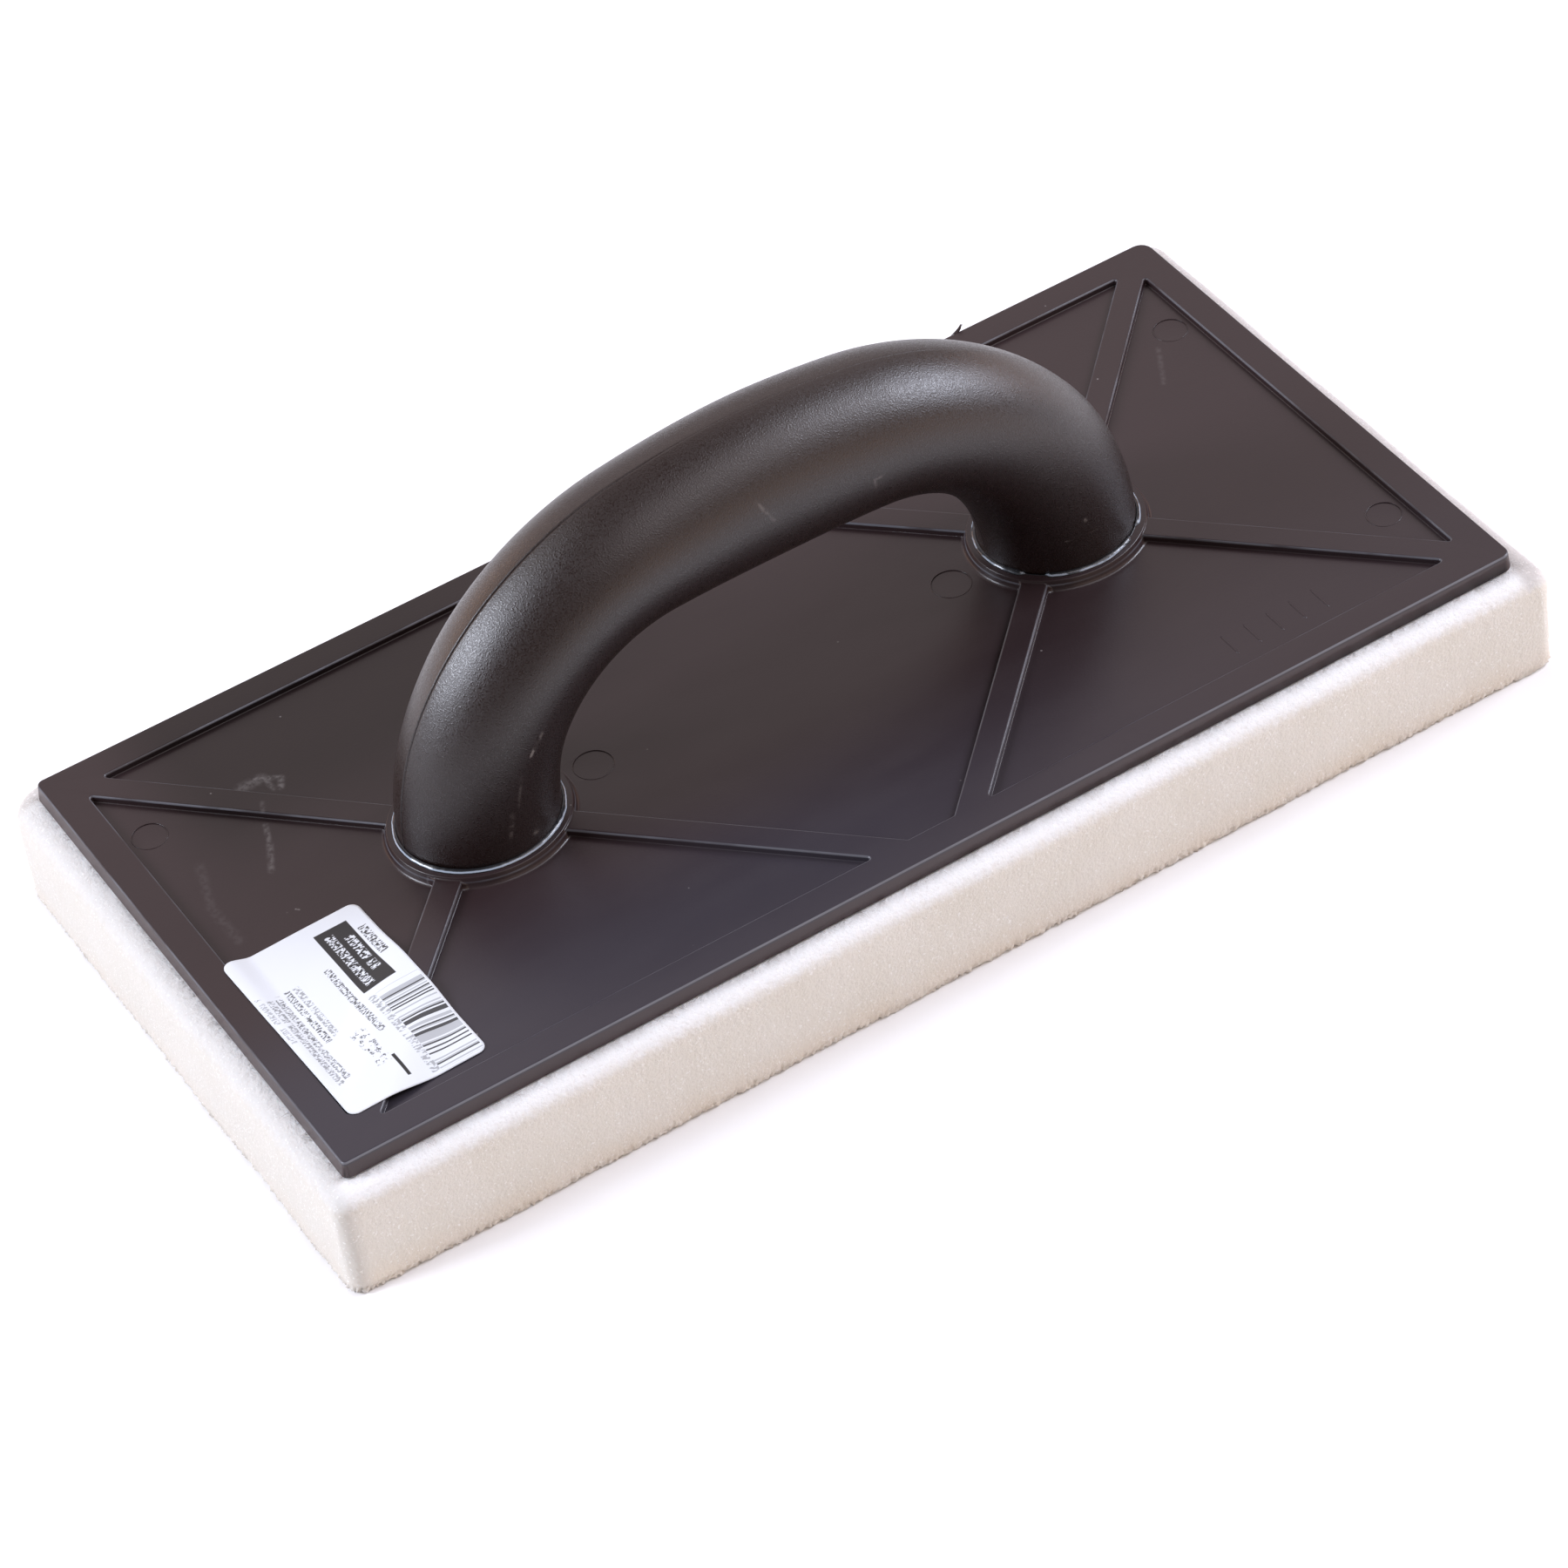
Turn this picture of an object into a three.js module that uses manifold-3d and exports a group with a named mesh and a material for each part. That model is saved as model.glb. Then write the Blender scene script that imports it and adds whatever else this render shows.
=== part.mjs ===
// Sponge float: a ribbed plastic base plate that carries a hollow two-part loop handle on its back
// and a thick foam pad on its face.
// Millimetres. +X runs along the length, +Y across the width and +Z up.
// The origin is the centre of the pad's working face, and everything else is stacked above it.
import * as THREE from 'three';
import { mergeVertices } from 'three/addons/utils/BufferGeometryUtils.js';
import Module from 'manifold-3d';

const wasm = await Module();
wasm.setup();

// Foam pad
const PAD_LENGTH = 282;
const PAD_WIDTH = 142;
const PAD_THICKNESS = 25;
const PAD_CORNER_RADIUS = 4;
const PAD_TOP_ROUND = 2.5;
const PAD_BOTTOM_ROUND = 1;

// Adhesive between the pad and the plate, spread a little short of the plate's edge
const ADHESIVE_THICKNESS = 0.3;
const ADHESIVE_MARGIN = 1.5;

// Base plate; its corner radii run anticlockwise from the front left corner
const PLATE_LENGTH = 270;
const PLATE_WIDTH = 130;
const PLATE_HEIGHT = 3.7;
const PLATE_CORNER_RADII = [1, 2, 3, 1.6];
const PLATE_EDGE_ROUND = 0.4;
const PLATE_DRAFT = 0.4;
const RIM_WIDTH = 7;
const PANEL_DEPTH = 1.5;
const PANEL_CORNER_RADIUS = 0.4;
const PANEL_FLOOR_FILLET = 0.2;
const PANEL_TOP_ROUND = 0.5;
const CUT_CLEARANCE = 1;
const RIB_WIDTH = 5.8;
const INNER_RIB_ROOT_X = 66.7;
const INNER_RIB_END_X = 9.4;
const OUTER_RIB_ROOT_X = 71;
const OUTER_RIB_END_X = 127.2;

// Ejector pin marks: shallow round dimples in the panel floors
const PIN_MARK_RADIUS = 4.2;
const PIN_MARK_END_RADIUS = 3.7;
const PIN_MARK_DEPTH = 0.12;
const PIN_MARK_SEGMENTS = 32;
const PIN_MARK_GRIP_X = 42.5;
const PIN_MARK_END_X = 123;
const PIN_MARK_END_Y = 38;

// Oval bosses that seat the handle's feet, each with a short spigot inside the hollow foot
const BOSS_X = 68.4;
const BOSS_RISE = 0.8;
const BOSS_BASE_RADIUS = 20.3;
const BOSS_FOOT_RADIUS = 19.5;
const BOSS_TOP_RADIUS = 19;
const BOSS_TOP_ROUND = 0.25;
const BOSS_WIDTH_RATIO = 0.92;
const BOSS_ROOT = 0.5;
const BOSS_SEGMENTS = 64;
const SPIGOT_RADIUS = 14;
const SPIGOT_BORE_RADIUS = 11.8;
const SPIGOT_HEIGHT = 4;
const SPIGOT_LEAD_IN = 0.5;

// Handle: an oval tube along two corner arcs joined by a slightly crowned grip
const CORNER_RADIUS = 48.9;
const CROWN_RADIUS = 220;
const TUBE_WIDTH = 31.6;
const TUBE_DEPTH_MEAN = 32.2;
const TUBE_DEPTH_SWELL = 1.7;
const TUBE_WALL = 2.5;
const SEAM_CREASE = 0.5;
const SEAM_GROOVE = 0.3;
const SEAM_CHAMFER = 0.075;
const CORNER_STEPS = 22;
const CROWN_STEPS = 6;
const OUTER_SECTION_STEPS = 20;
const INNER_SECTION_STEPS = 10;

// Cement bead round each foot
const BEAD_GAP = 0.1;
const BEAD_WIDTH = 0.9;
const BEAD_HEIGHT = 0.8;
const BEAD_STEPS = 4;

// Paper label, draped over the recessed end panel, a rib and the edge of the rim
const LABEL_WIDTH = 30;
const LABEL_LENGTH = 50.6;
const LABEL_X = -113.6;
const LABEL_Y = -29.8;
const LABEL_TURN = THREE.MathUtils.degToRad(1.5);
const LABEL_THICKNESS = 0.15;
const LABEL_GAP = 0.06;
const LABEL_CORNER_RADIUS = 2;
const LABEL_PITCH = 1.6;
const DRAPE_MARGIN = 0.9;
const DRAPE_RUN = 3;

const CORNER_ARC_STEPS = 5;
const ROUND_STEPS = 3;
const WELD_DISTANCE = 1e-4;

// Heights
const PLATE_BOTTOM = PAD_THICKNESS + ADHESIVE_THICKNESS;
const PLATE_TOP = PLATE_BOTTOM + PLATE_HEIGHT;
const PANEL_FLOOR = PLATE_TOP - PANEL_DEPTH;
const SEAT = PLATE_TOP + BOSS_RISE;
const RECESS_HALF_X = PLATE_LENGTH / 2 - RIM_WIDTH;
const RECESS_HALF_Y = PLATE_WIDTH / 2 - RIM_WIDTH;

// ---------------------------------------------------------------- solids

function toManifold(geometry) {
  const bare = geometry.clone();
  bare.deleteAttribute('normal');
  bare.deleteAttribute('uv');
  const welded = mergeVertices(bare, WELD_DISTANCE);
  return new wasm.Manifold(new wasm.Mesh({
    numProp: 3,
    vertProperties: new Float32Array(welded.attributes.position.array),
    triVerts: new Uint32Array(welded.index.array),
  }));
}

function toGeometry(solid) {
  const mesh = solid.getMesh();
  const geometry = new THREE.BufferGeometry();
  geometry.setAttribute('position', new THREE.BufferAttribute(new Float32Array(mesh.vertProperties), 3));
  geometry.setIndex(new THREE.BufferAttribute(new Uint32Array(mesh.triVerts), 1));
  geometry.computeVertexNormals();
  return geometry;
}

function boxSolid(sizeX, sizeY, sizeZ, x, y, z) {
  return toManifold(new THREE.BoxGeometry(sizeX, sizeY, sizeZ).translate(x, y, z));
}

// A closed body through equal rings of points. With a cap outline its two ends are filled, and
// without one the last ring joins the first.
function loft(rings, capOutline) {
  const count = rings[0].length;
  const positions = rings.flat().flatMap((point) => point.toArray());
  const index = [];
  const spans = capOutline ? rings.length - 1 : rings.length;
  for (let ring = 0; ring < spans; ring += 1) {
    const next = (ring + 1) % rings.length;
    for (let i = 0; i < count; i += 1) {
      const j = (i + 1) % count;
      index.push(ring * count + i, ring * count + j, next * count + j);
      index.push(ring * count + i, next * count + j, next * count + i);
    }
  }
  if (capOutline) {
    const last = (rings.length - 1) * count;
    const clockwise = THREE.ShapeUtils.isClockWise(capOutline);
    for (const face of THREE.ShapeUtils.triangulateShape(capOutline, [])) {
      const [a, b, c] = clockwise ? face.reverse() : face;
      index.push(c, b, a);
      index.push(last + a, last + b, last + c);
    }
  }
  const geometry = new THREE.BufferGeometry();
  geometry.setAttribute('position', new THREE.Float32BufferAttribute(positions, 3));
  geometry.setIndex(index);
  geometry.computeVertexNormals();
  return geometry;
}

// Where two lines meet, each given by a unit normal and its distance from the origin
function crossing(normalA, distanceA, normalB, distanceB) {
  const determinant = normalA.x * normalB.y - normalA.y * normalB.x;
  return new THREE.Vector2(
    (distanceA * normalB.y - distanceB * normalA.y) / determinant,
    (normalA.x * distanceB - normalB.x * distanceA) / determinant,
  );
}

// A convex outline, corners given anticlockwise, rounded and then grown or shrunk. The radius is
// one number for all corners or a list with one for each.
function roundedOutline(corners, radius, grow = 0) {
  const normals = corners.map((corner, i) => {
    const edge = corners[(i + 1) % corners.length].clone().sub(corner).normalize();
    return new THREE.Vector2(edge.y, -edge.x);
  });
  return corners.flatMap((corner, i) => {
    const before = normals[(i + corners.length - 1) % corners.length];
    const after = normals[i];
    const arc = Array.isArray(radius) ? radius[i] : radius;
    const centre = crossing(before, before.dot(corner) - arc, after, after.dot(corner) - arc);
    const start = before.angle();
    const turn = (after.angle() - start + 2 * Math.PI) % (2 * Math.PI);
    return Array.from({ length: CORNER_ARC_STEPS + 1 }, (_, k) => {
      const angle = start + (turn * k) / CORNER_ARC_STEPS;
      return new THREE.Vector2(Math.cos(angle), Math.sin(angle)).multiplyScalar(arc + grow).add(centre);
    });
  });
}

function rectangle(halfX, halfY) {
  return [[-halfX, -halfY], [halfX, -halfY], [halfX, halfY], [-halfX, halfY]]
    .map(([x, y]) => new THREE.Vector2(x, y));
}

// A body whose outline grows and shrinks with height: levels are [height, growth] pairs
function stackedBody(corners, radius, levels) {
  const rings = levels.map(([z, grow]) => roundedOutline(corners, radius, grow)
    .map((point) => new THREE.Vector3(point.x, point.y, z)));
  return loft(rings, roundedOutline(corners, radius));
}

// [height, growth] pairs of a quarter round, from an angle to an angle about its centre
function quarterRound(z, grow, radius, fromDegrees, toDegrees) {
  return Array.from({ length: ROUND_STEPS + 1 }, (_, k) => {
    const angle = THREE.MathUtils.degToRad(fromDegrees + ((toDegrees - fromDegrees) * k) / ROUND_STEPS);
    return [z + radius * Math.sin(angle), grow + radius * Math.cos(angle)];
  });
}

// ---------------------------------------------------------------- foam pad and adhesive

function foamPad() {
  const levels = [
    ...quarterRound(PAD_BOTTOM_ROUND, -PAD_BOTTOM_ROUND, PAD_BOTTOM_ROUND, -90, 0),
    ...quarterRound(PAD_THICKNESS - PAD_TOP_ROUND, -PAD_TOP_ROUND, PAD_TOP_ROUND, 0, 90),
  ];
  return stackedBody(rectangle(PAD_LENGTH / 2, PAD_WIDTH / 2), PAD_CORNER_RADIUS, levels);
}

function adhesiveFilm() {
  const outline = rectangle(PLATE_LENGTH / 2 - ADHESIVE_MARGIN, PLATE_WIDTH / 2 - ADHESIVE_MARGIN);
  return stackedBody(outline, PLATE_CORNER_RADII, [[PAD_THICKNESS, 0], [PLATE_BOTTOM, 0]]);
}

// ---------------------------------------------------------------- base plate

// Half a slanting rib's width, measured along X
function ribHalfSpan(rootX, endX) {
  return (RIB_WIDTH / 2) * Math.hypot(1, (endX - rootX) / RECESS_HALF_Y);
}
const INNER_HALF = ribHalfSpan(INNER_RIB_ROOT_X, INNER_RIB_END_X);
const OUTER_HALF = ribHalfSpan(OUTER_RIB_ROOT_X, OUTER_RIB_END_X);

// Corners of the six-sided sunk panel under the grip, anticlockwise
const GRIP_PANEL = [
  [INNER_RIB_ROOT_X - INNER_HALF, 0],
  [INNER_RIB_END_X - INNER_HALF, RECESS_HALF_Y],
  [INNER_HALF - INNER_RIB_END_X, RECESS_HALF_Y],
  [INNER_HALF - INNER_RIB_ROOT_X, 0],
  [INNER_HALF - INNER_RIB_END_X, -RECESS_HALF_Y],
  [INNER_RIB_END_X - INNER_HALF, -RECESS_HALF_Y],
];

// X of a slanting line at a height y, where it runs from the middle line to the recess edge
function lineX(rootX, endX, y) {
  return rootX + ((endX - rootX) * y) / RECESS_HALF_Y;
}

// Corners of the three-sided panels in the quarter where x and y are positive
function sidePanel() {
  const innerRoot = INNER_RIB_ROOT_X + INNER_HALF;
  const outerRoot = OUTER_RIB_ROOT_X - OUTER_HALF;
  const innerRun = INNER_RIB_END_X - INNER_RIB_ROOT_X;
  const outerRun = OUTER_RIB_END_X - OUTER_RIB_ROOT_X;
  const apexY = ((innerRoot - outerRoot) * RECESS_HALF_Y) / (outerRun - innerRun);
  return [
    [lineX(innerRoot, innerRoot + innerRun, apexY), apexY],
    [outerRoot + outerRun, RECESS_HALF_Y],
    [innerRoot + innerRun, RECESS_HALF_Y],
  ];
}

function endPanel() {
  const root = OUTER_RIB_ROOT_X + OUTER_HALF;
  const run = OUTER_RIB_END_X - OUTER_RIB_ROOT_X;
  const cornerY = ((RECESS_HALF_X - root) * RECESS_HALF_Y) / run;
  return [[root, 0], [RECESS_HALF_X, -cornerY], [RECESS_HALF_X, cornerY]];
}

// The same corners mirrored by signs of x and y, still anticlockwise
function mirrored(corners, signX, signY) {
  const flipped = corners.map(([x, y]) => new THREE.Vector2(x * signX, y * signY));
  return signX * signY > 0 ? flipped : flipped.reverse();
}

function panelCutter(corners) {
  const levels = [
    ...quarterRound(PANEL_FLOOR + PANEL_FLOOR_FILLET, -PANEL_FLOOR_FILLET, PANEL_FLOOR_FILLET, -90, 0),
    ...quarterRound(PLATE_TOP - PANEL_TOP_ROUND, PANEL_TOP_ROUND, PANEL_TOP_ROUND, 180, 90),
    [PLATE_TOP + CUT_CLEARANCE, PANEL_TOP_ROUND],
  ];
  return toManifold(stackedBody(corners, PANEL_CORNER_RADIUS, levels));
}

function slab() {
  const levels = [
    [PLATE_BOTTOM, PLATE_DRAFT],
    ...quarterRound(PLATE_TOP - PLATE_EDGE_ROUND, -PLATE_EDGE_ROUND, PLATE_EDGE_ROUND, 0, 90),
  ];
  const corners = rectangle(PLATE_LENGTH / 2, PLATE_WIDTH / 2);
  return toManifold(stackedBody(corners, PLATE_CORNER_RADII, levels));
}

function boss(x) {
  const fillet = BOSS_BASE_RADIUS - BOSS_FOOT_RADIUS;
  const filletArc = quarterRound(PANEL_FLOOR + fillet, BOSS_BASE_RADIUS, fillet, 270, 180);
  const topArc = quarterRound(SEAT - BOSS_TOP_ROUND, BOSS_TOP_RADIUS - BOSS_TOP_ROUND, BOSS_TOP_ROUND, 0, 90);
  const outer = [...filletArc, ...topArc].map(([z, radius]) => new THREE.Vector2(radius, z));
  const spigotTop = SEAT + SPIGOT_HEIGHT;
  const profile = [
    new THREE.Vector2(0, PLATE_BOTTOM + BOSS_ROOT),
    new THREE.Vector2(BOSS_BASE_RADIUS, PLATE_BOTTOM + BOSS_ROOT),
    ...outer,
    new THREE.Vector2(SPIGOT_RADIUS, SEAT),
    new THREE.Vector2(SPIGOT_RADIUS, spigotTop - SPIGOT_LEAD_IN),
    new THREE.Vector2(SPIGOT_RADIUS - SPIGOT_LEAD_IN, spigotTop),
    new THREE.Vector2(SPIGOT_BORE_RADIUS, spigotTop),
    new THREE.Vector2(SPIGOT_BORE_RADIUS, PANEL_FLOOR),
    new THREE.Vector2(0, PANEL_FLOOR),
  ];
  const geometry = new THREE.LatheGeometry(profile, BOSS_SEGMENTS);
  geometry.rotateX(Math.PI / 2);
  geometry.scale(1, BOSS_WIDTH_RATIO, 1);
  geometry.translate(x, 0, 0);
  return toManifold(geometry);
}

function spigotBore(x) {
  const depth = SEAT - PANEL_FLOOR;
  const geometry = new THREE.CylinderGeometry(SPIGOT_BORE_RADIUS, SPIGOT_BORE_RADIUS, depth, BOSS_SEGMENTS);
  geometry.rotateX(Math.PI / 2);
  geometry.scale(1, BOSS_WIDTH_RATIO, 1);
  geometry.translate(x, 0, PANEL_FLOOR + depth / 2);
  return toManifold(geometry);
}

function pinMark(x, y, radius) {
  const height = PIN_MARK_DEPTH + CUT_CLEARANCE;
  const geometry = new THREE.CylinderGeometry(radius, radius, height, PIN_MARK_SEGMENTS);
  geometry.rotateX(Math.PI / 2);
  geometry.translate(x, y, PANEL_FLOOR - PIN_MARK_DEPTH + height / 2);
  return toManifold(geometry);
}

function basePlate() {
  let plate = slab();
  const signs = [-1, 1];
  plate = plate.subtract(panelCutter(mirrored(GRIP_PANEL, 1, 1)));
  for (const signX of signs) {
    plate = plate.subtract(panelCutter(mirrored(endPanel(), signX, 1)));
    plate = plate.subtract(pinMark(signX * PIN_MARK_GRIP_X, 0, PIN_MARK_RADIUS));
    for (const signY of signs) {
      const mark = pinMark(signX * PIN_MARK_END_X, signY * PIN_MARK_END_Y, PIN_MARK_END_RADIUS);
      plate = plate.subtract(panelCutter(mirrored(sidePanel(), signX, signY)));
      plate = plate.subtract(mark);
    }
  }
  for (const signX of signs) {
    plate = plate.subtract(spigotBore(signX * BOSS_X));
    plate = plate.add(boss(signX * BOSS_X));
  }
  return toGeometry(plate);
}

// ---------------------------------------------------------------- handle

// Points along the handle's middle line in the XZ plane, each with the direction of its outer side
function handleStations() {
  const cornerX = BOSS_X - CORNER_RADIUS;
  const blend = Math.acos(cornerX / (CROWN_RADIUS - CORNER_RADIUS));
  const crownZ = PLATE_TOP - (CROWN_RADIUS - CORNER_RADIUS) * Math.sin(blend);
  const stations = [{ x: BOSS_X, z: PLATE_TOP - CUT_CLEARANCE, angle: 0 }];
  for (let k = 0; k < CORNER_STEPS; k += 1) {
    const angle = (blend * k) / CORNER_STEPS;
    const x = cornerX + CORNER_RADIUS * Math.cos(angle);
    stations.push({ x, z: PLATE_TOP + CORNER_RADIUS * Math.sin(angle), angle });
  }
  for (let k = 0; k <= CROWN_STEPS; k += 1) {
    const angle = blend + ((Math.PI / 2 - blend) * k) / CROWN_STEPS;
    stations.push({ x: CROWN_RADIUS * Math.cos(angle), z: crownZ + CROWN_RADIUS * Math.sin(angle), angle });
  }
  const far = stations.slice(0, -1).reverse().map(({ x, z, angle }) => ({ x: -x, z, angle: Math.PI - angle }));
  return [...stations, ...far];
}

// Half the tube's depth, in the plane of the arch: fullest at the feet and the crown
function halfDepth(share) {
  return (TUBE_DEPTH_MEAN + TUBE_DEPTH_SWELL * Math.cos(2 * Math.PI * share)) / 2;
}

// One side of the oval section, from its outer seam to its inner seam. The side bulges from a
// centre just across the seam, so the two sides meet in a faint crease.
function sideArc(halfDepthHere, halfWidth, steps) {
  const reach = halfWidth + SEAM_CREASE;
  const start = Math.asin(SEAM_CREASE / reach);
  return Array.from({ length: steps + 1 }, (_, k) => {
    const angle = start + ((Math.PI - 2 * start) * k) / steps;
    const out = (halfDepthHere * Math.cos(angle)) / Math.cos(start);
    return new THREE.Vector2(out, Math.max(0, reach * Math.sin(angle) - SEAM_CREASE));
  });
}

// The section of one shell: outer wall, seam faces with a small chamfer, and inner wall
function shellSection(depth) {
  const outer = sideArc(depth, TUBE_WIDTH / 2, OUTER_SECTION_STEPS);
  const inner = sideArc(depth - TUBE_WALL, TUBE_WIDTH / 2 - TUBE_WALL, INNER_SECTION_STEPS).reverse();
  const chamfered = outer.slice(1, -1);
  return [
    new THREE.Vector2(depth - SEAM_GROOVE, 0),
    new THREE.Vector2(depth - SEAM_CHAMFER, SEAM_GROOVE),
    ...chamfered,
    new THREE.Vector2(SEAM_CHAMFER - depth, SEAM_GROOVE),
    new THREE.Vector2(SEAM_GROOVE - depth, 0),
    ...inner,
  ];
}

// A shell is one half of the tube, on the side of the seam plane that the sign gives
function handleShell(sign) {
  const stations = handleStations();
  const lengths = [0];
  for (let i = 1; i < stations.length; i += 1) {
    const step = Math.hypot(stations[i].x - stations[i - 1].x, stations[i].z - stations[i - 1].z);
    lengths.push(lengths[i - 1] + step);
  }
  const total = lengths[lengths.length - 1];
  const rings = stations.map(({ x, z, angle }, i) => {
    const share = (2 * lengths[i]) / total - 1;
    const section = shellSection(halfDepth(share));
    const ring = section.map((point) => new THREE.Vector3(
      x + point.x * Math.cos(angle),
      sign * point.y,
      z + point.x * Math.sin(angle),
    ));
    return sign > 0 ? ring : ring.reverse();
  });
  const cap = shellSection(halfDepth(1));
  const shell = toManifold(loft(rings, sign > 0 ? cap : cap.reverse()));
  const below = boxSolid(PLATE_LENGTH, PLATE_WIDTH, SEAT, 0, 0, SEAT / 2);
  return toGeometry(shell.subtract(below));
}

// ---------------------------------------------------------------- cement beads

function bead(centreX) {
  const profile = [[0, 0], [BEAD_WIDTH, 0]];
  for (let k = 1; k < BEAD_STEPS; k += 1) {
    const angle = (Math.PI / 2) * (k / BEAD_STEPS);
    profile.push([BEAD_WIDTH * Math.cos(angle), BEAD_HEIGHT * Math.sin(angle)]);
  }
  profile.push([0, BEAD_HEIGHT]);
  const rings = profile.map(([out, up]) => {
    const grow = BEAD_GAP + out;
    const side = sideArc(halfDepth(1) + grow, TUBE_WIDTH / 2 + grow, OUTER_SECTION_STEPS);
    const otherSide = side.slice(1, -1).reverse().map((point) => new THREE.Vector2(point.x, -point.y));
    return [...side, ...otherSide]
      .map((point) => new THREE.Vector3(centreX + point.x, point.y, SEAT + up));
  });
  return loft(rings);
}

// ---------------------------------------------------------------- label

// How far a point lies from the middle of the rib that the label is draped over
function distanceFromLabelRib(x, y) {
  const along = new THREE.Vector2(OUTER_RIB_ROOT_X - OUTER_RIB_END_X, -RECESS_HALF_Y).normalize();
  return Math.abs((x + OUTER_RIB_ROOT_X) * along.y - y * along.x);
}

// Height of the draped paper: level over the rib and the rim, and down on the panel floor
function drapeHeight(x, y) {
  const fromRib = distanceFromLabelRib(x, y) - RIB_WIDTH / 2 - DRAPE_MARGIN;
  const fromRim = x + RECESS_HALF_X - DRAPE_MARGIN;
  const clear = Math.min(fromRib, fromRim);
  return PLATE_TOP - PANEL_DEPTH * THREE.MathUtils.smoothstep(clear, 0, DRAPE_RUN);
}

function label() {
  const columns = Math.round(LABEL_WIDTH / LABEL_PITCH);
  const rows = Math.round(LABEL_LENGTH / LABEL_PITCH);
  const outline = roundedOutline(rectangle(LABEL_WIDTH / 2, LABEL_LENGTH / 2), LABEL_CORNER_RADIUS);
  const solid = toManifold(loft(
    [PANEL_FLOOR - CUT_CLEARANCE, PLATE_TOP + CUT_CLEARANCE]
      .map((z) => outline.map((point) => new THREE.Vector3(point.x, point.y, z))),
    outline,
  ));
  const sheet = new THREE.BoxGeometry(LABEL_WIDTH, LABEL_LENGTH, LABEL_THICKNESS, columns, rows, 1);
  const trimmed = toGeometry(toManifold(sheet.translate(0, 0, PANEL_FLOOR)).intersect(solid));
  trimmed.rotateZ(LABEL_TURN);
  trimmed.translate(LABEL_X, LABEL_Y, 0);
  const points = trimmed.attributes.position;
  for (let i = 0; i < points.count; i += 1) {
    const lift = points.getZ(i) - PANEL_FLOOR + LABEL_THICKNESS / 2;
    points.setZ(i, drapeHeight(points.getX(i), points.getY(i)) + LABEL_GAP + lift);
  }
  trimmed.computeVertexNormals();
  return trimmed;
}

// ---------------------------------------------------------------- assembly

const PLATE_PLASTIC = { color: 0x4a4747, roughness: 0.48, metalness: 0 };
const HANDLE_PLASTIC = { color: 0x2a292b, roughness: 0.42, metalness: 0 };
const CEMENT = { color: 0x232429, roughness: 0.15, metalness: 0 };
const GLUE = { color: 0xc9bfa4, roughness: 0.6, metalness: 0 };
const FOAM = { color: 0xe6e0da, roughness: 0.95, metalness: 0 };
const PAPER = { color: 0xe4ebf3, roughness: 0.6, metalness: 0 };

function piece(name, geometry, finish) {
  const mesh = new THREE.Mesh(geometry, new THREE.MeshStandardMaterial(finish));
  mesh.name = name;
  return mesh;
}

const group = new THREE.Group();
group.add(piece('foam_pad', foamPad(), FOAM));
group.add(piece('adhesive_film', adhesiveFilm(), GLUE));
group.add(piece('base_plate', basePlate(), PLATE_PLASTIC));
group.add(piece('handle_shell_front', handleShell(-1), HANDLE_PLASTIC));
group.add(piece('handle_shell_back', handleShell(1), HANDLE_PLASTIC));
group.add(piece('cement_bead_left', bead(-BOSS_X), CEMENT));
group.add(piece('cement_bead_right', bead(BOSS_X), CEMENT));
group.add(piece('label', label(), PAPER));

export default group;
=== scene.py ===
import math

import bpy
import numpy as np
from mathutils import Matrix, Vector, noise


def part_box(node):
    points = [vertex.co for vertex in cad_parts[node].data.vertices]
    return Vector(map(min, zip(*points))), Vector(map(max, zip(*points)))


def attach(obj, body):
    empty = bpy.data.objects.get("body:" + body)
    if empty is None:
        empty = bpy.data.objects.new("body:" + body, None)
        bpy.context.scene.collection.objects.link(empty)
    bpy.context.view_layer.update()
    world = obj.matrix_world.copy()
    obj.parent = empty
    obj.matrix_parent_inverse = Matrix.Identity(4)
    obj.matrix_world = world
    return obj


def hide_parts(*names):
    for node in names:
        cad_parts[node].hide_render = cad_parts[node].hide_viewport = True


# Looks of a sponge float: a porous foam pad, a satin ribbed plate with a paper label, and a grained
# two-part loop handle that stands in beads of glossy cement.
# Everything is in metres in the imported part's frame; lengths below are written in millimetres.
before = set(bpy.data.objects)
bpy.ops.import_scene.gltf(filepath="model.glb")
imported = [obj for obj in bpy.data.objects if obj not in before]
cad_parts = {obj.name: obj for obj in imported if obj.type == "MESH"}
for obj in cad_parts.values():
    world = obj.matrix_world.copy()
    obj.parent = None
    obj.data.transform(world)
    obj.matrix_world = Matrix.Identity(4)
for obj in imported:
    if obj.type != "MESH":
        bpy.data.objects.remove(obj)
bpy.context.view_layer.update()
BODY = "root"
MM = 0.001

# ---------------------------------------------------------------- places taken from the frame

PAD_LOW, PAD_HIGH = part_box("foam_pad")
PLATE_LOW, PLATE_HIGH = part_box("base_plate")
BEAD_LOW, BEAD_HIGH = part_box("cement_bead_right")
LABEL_LOW, LABEL_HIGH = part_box("label")

BOSS_RISE = 0.8 * MM
PANEL_DEPTH = 1.5 * MM
PLATE_DRAFT = 0.4 * MM
SEAT = BEAD_LOW.z
PLATE_TOP = SEAT - BOSS_RISE
PANEL_FLOOR = PLATE_TOP - PANEL_DEPTH
FOOT_X = (BEAD_LOW.x + BEAD_HIGH.x) / 2

# ---------------------------------------------------------------- meshes


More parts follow.
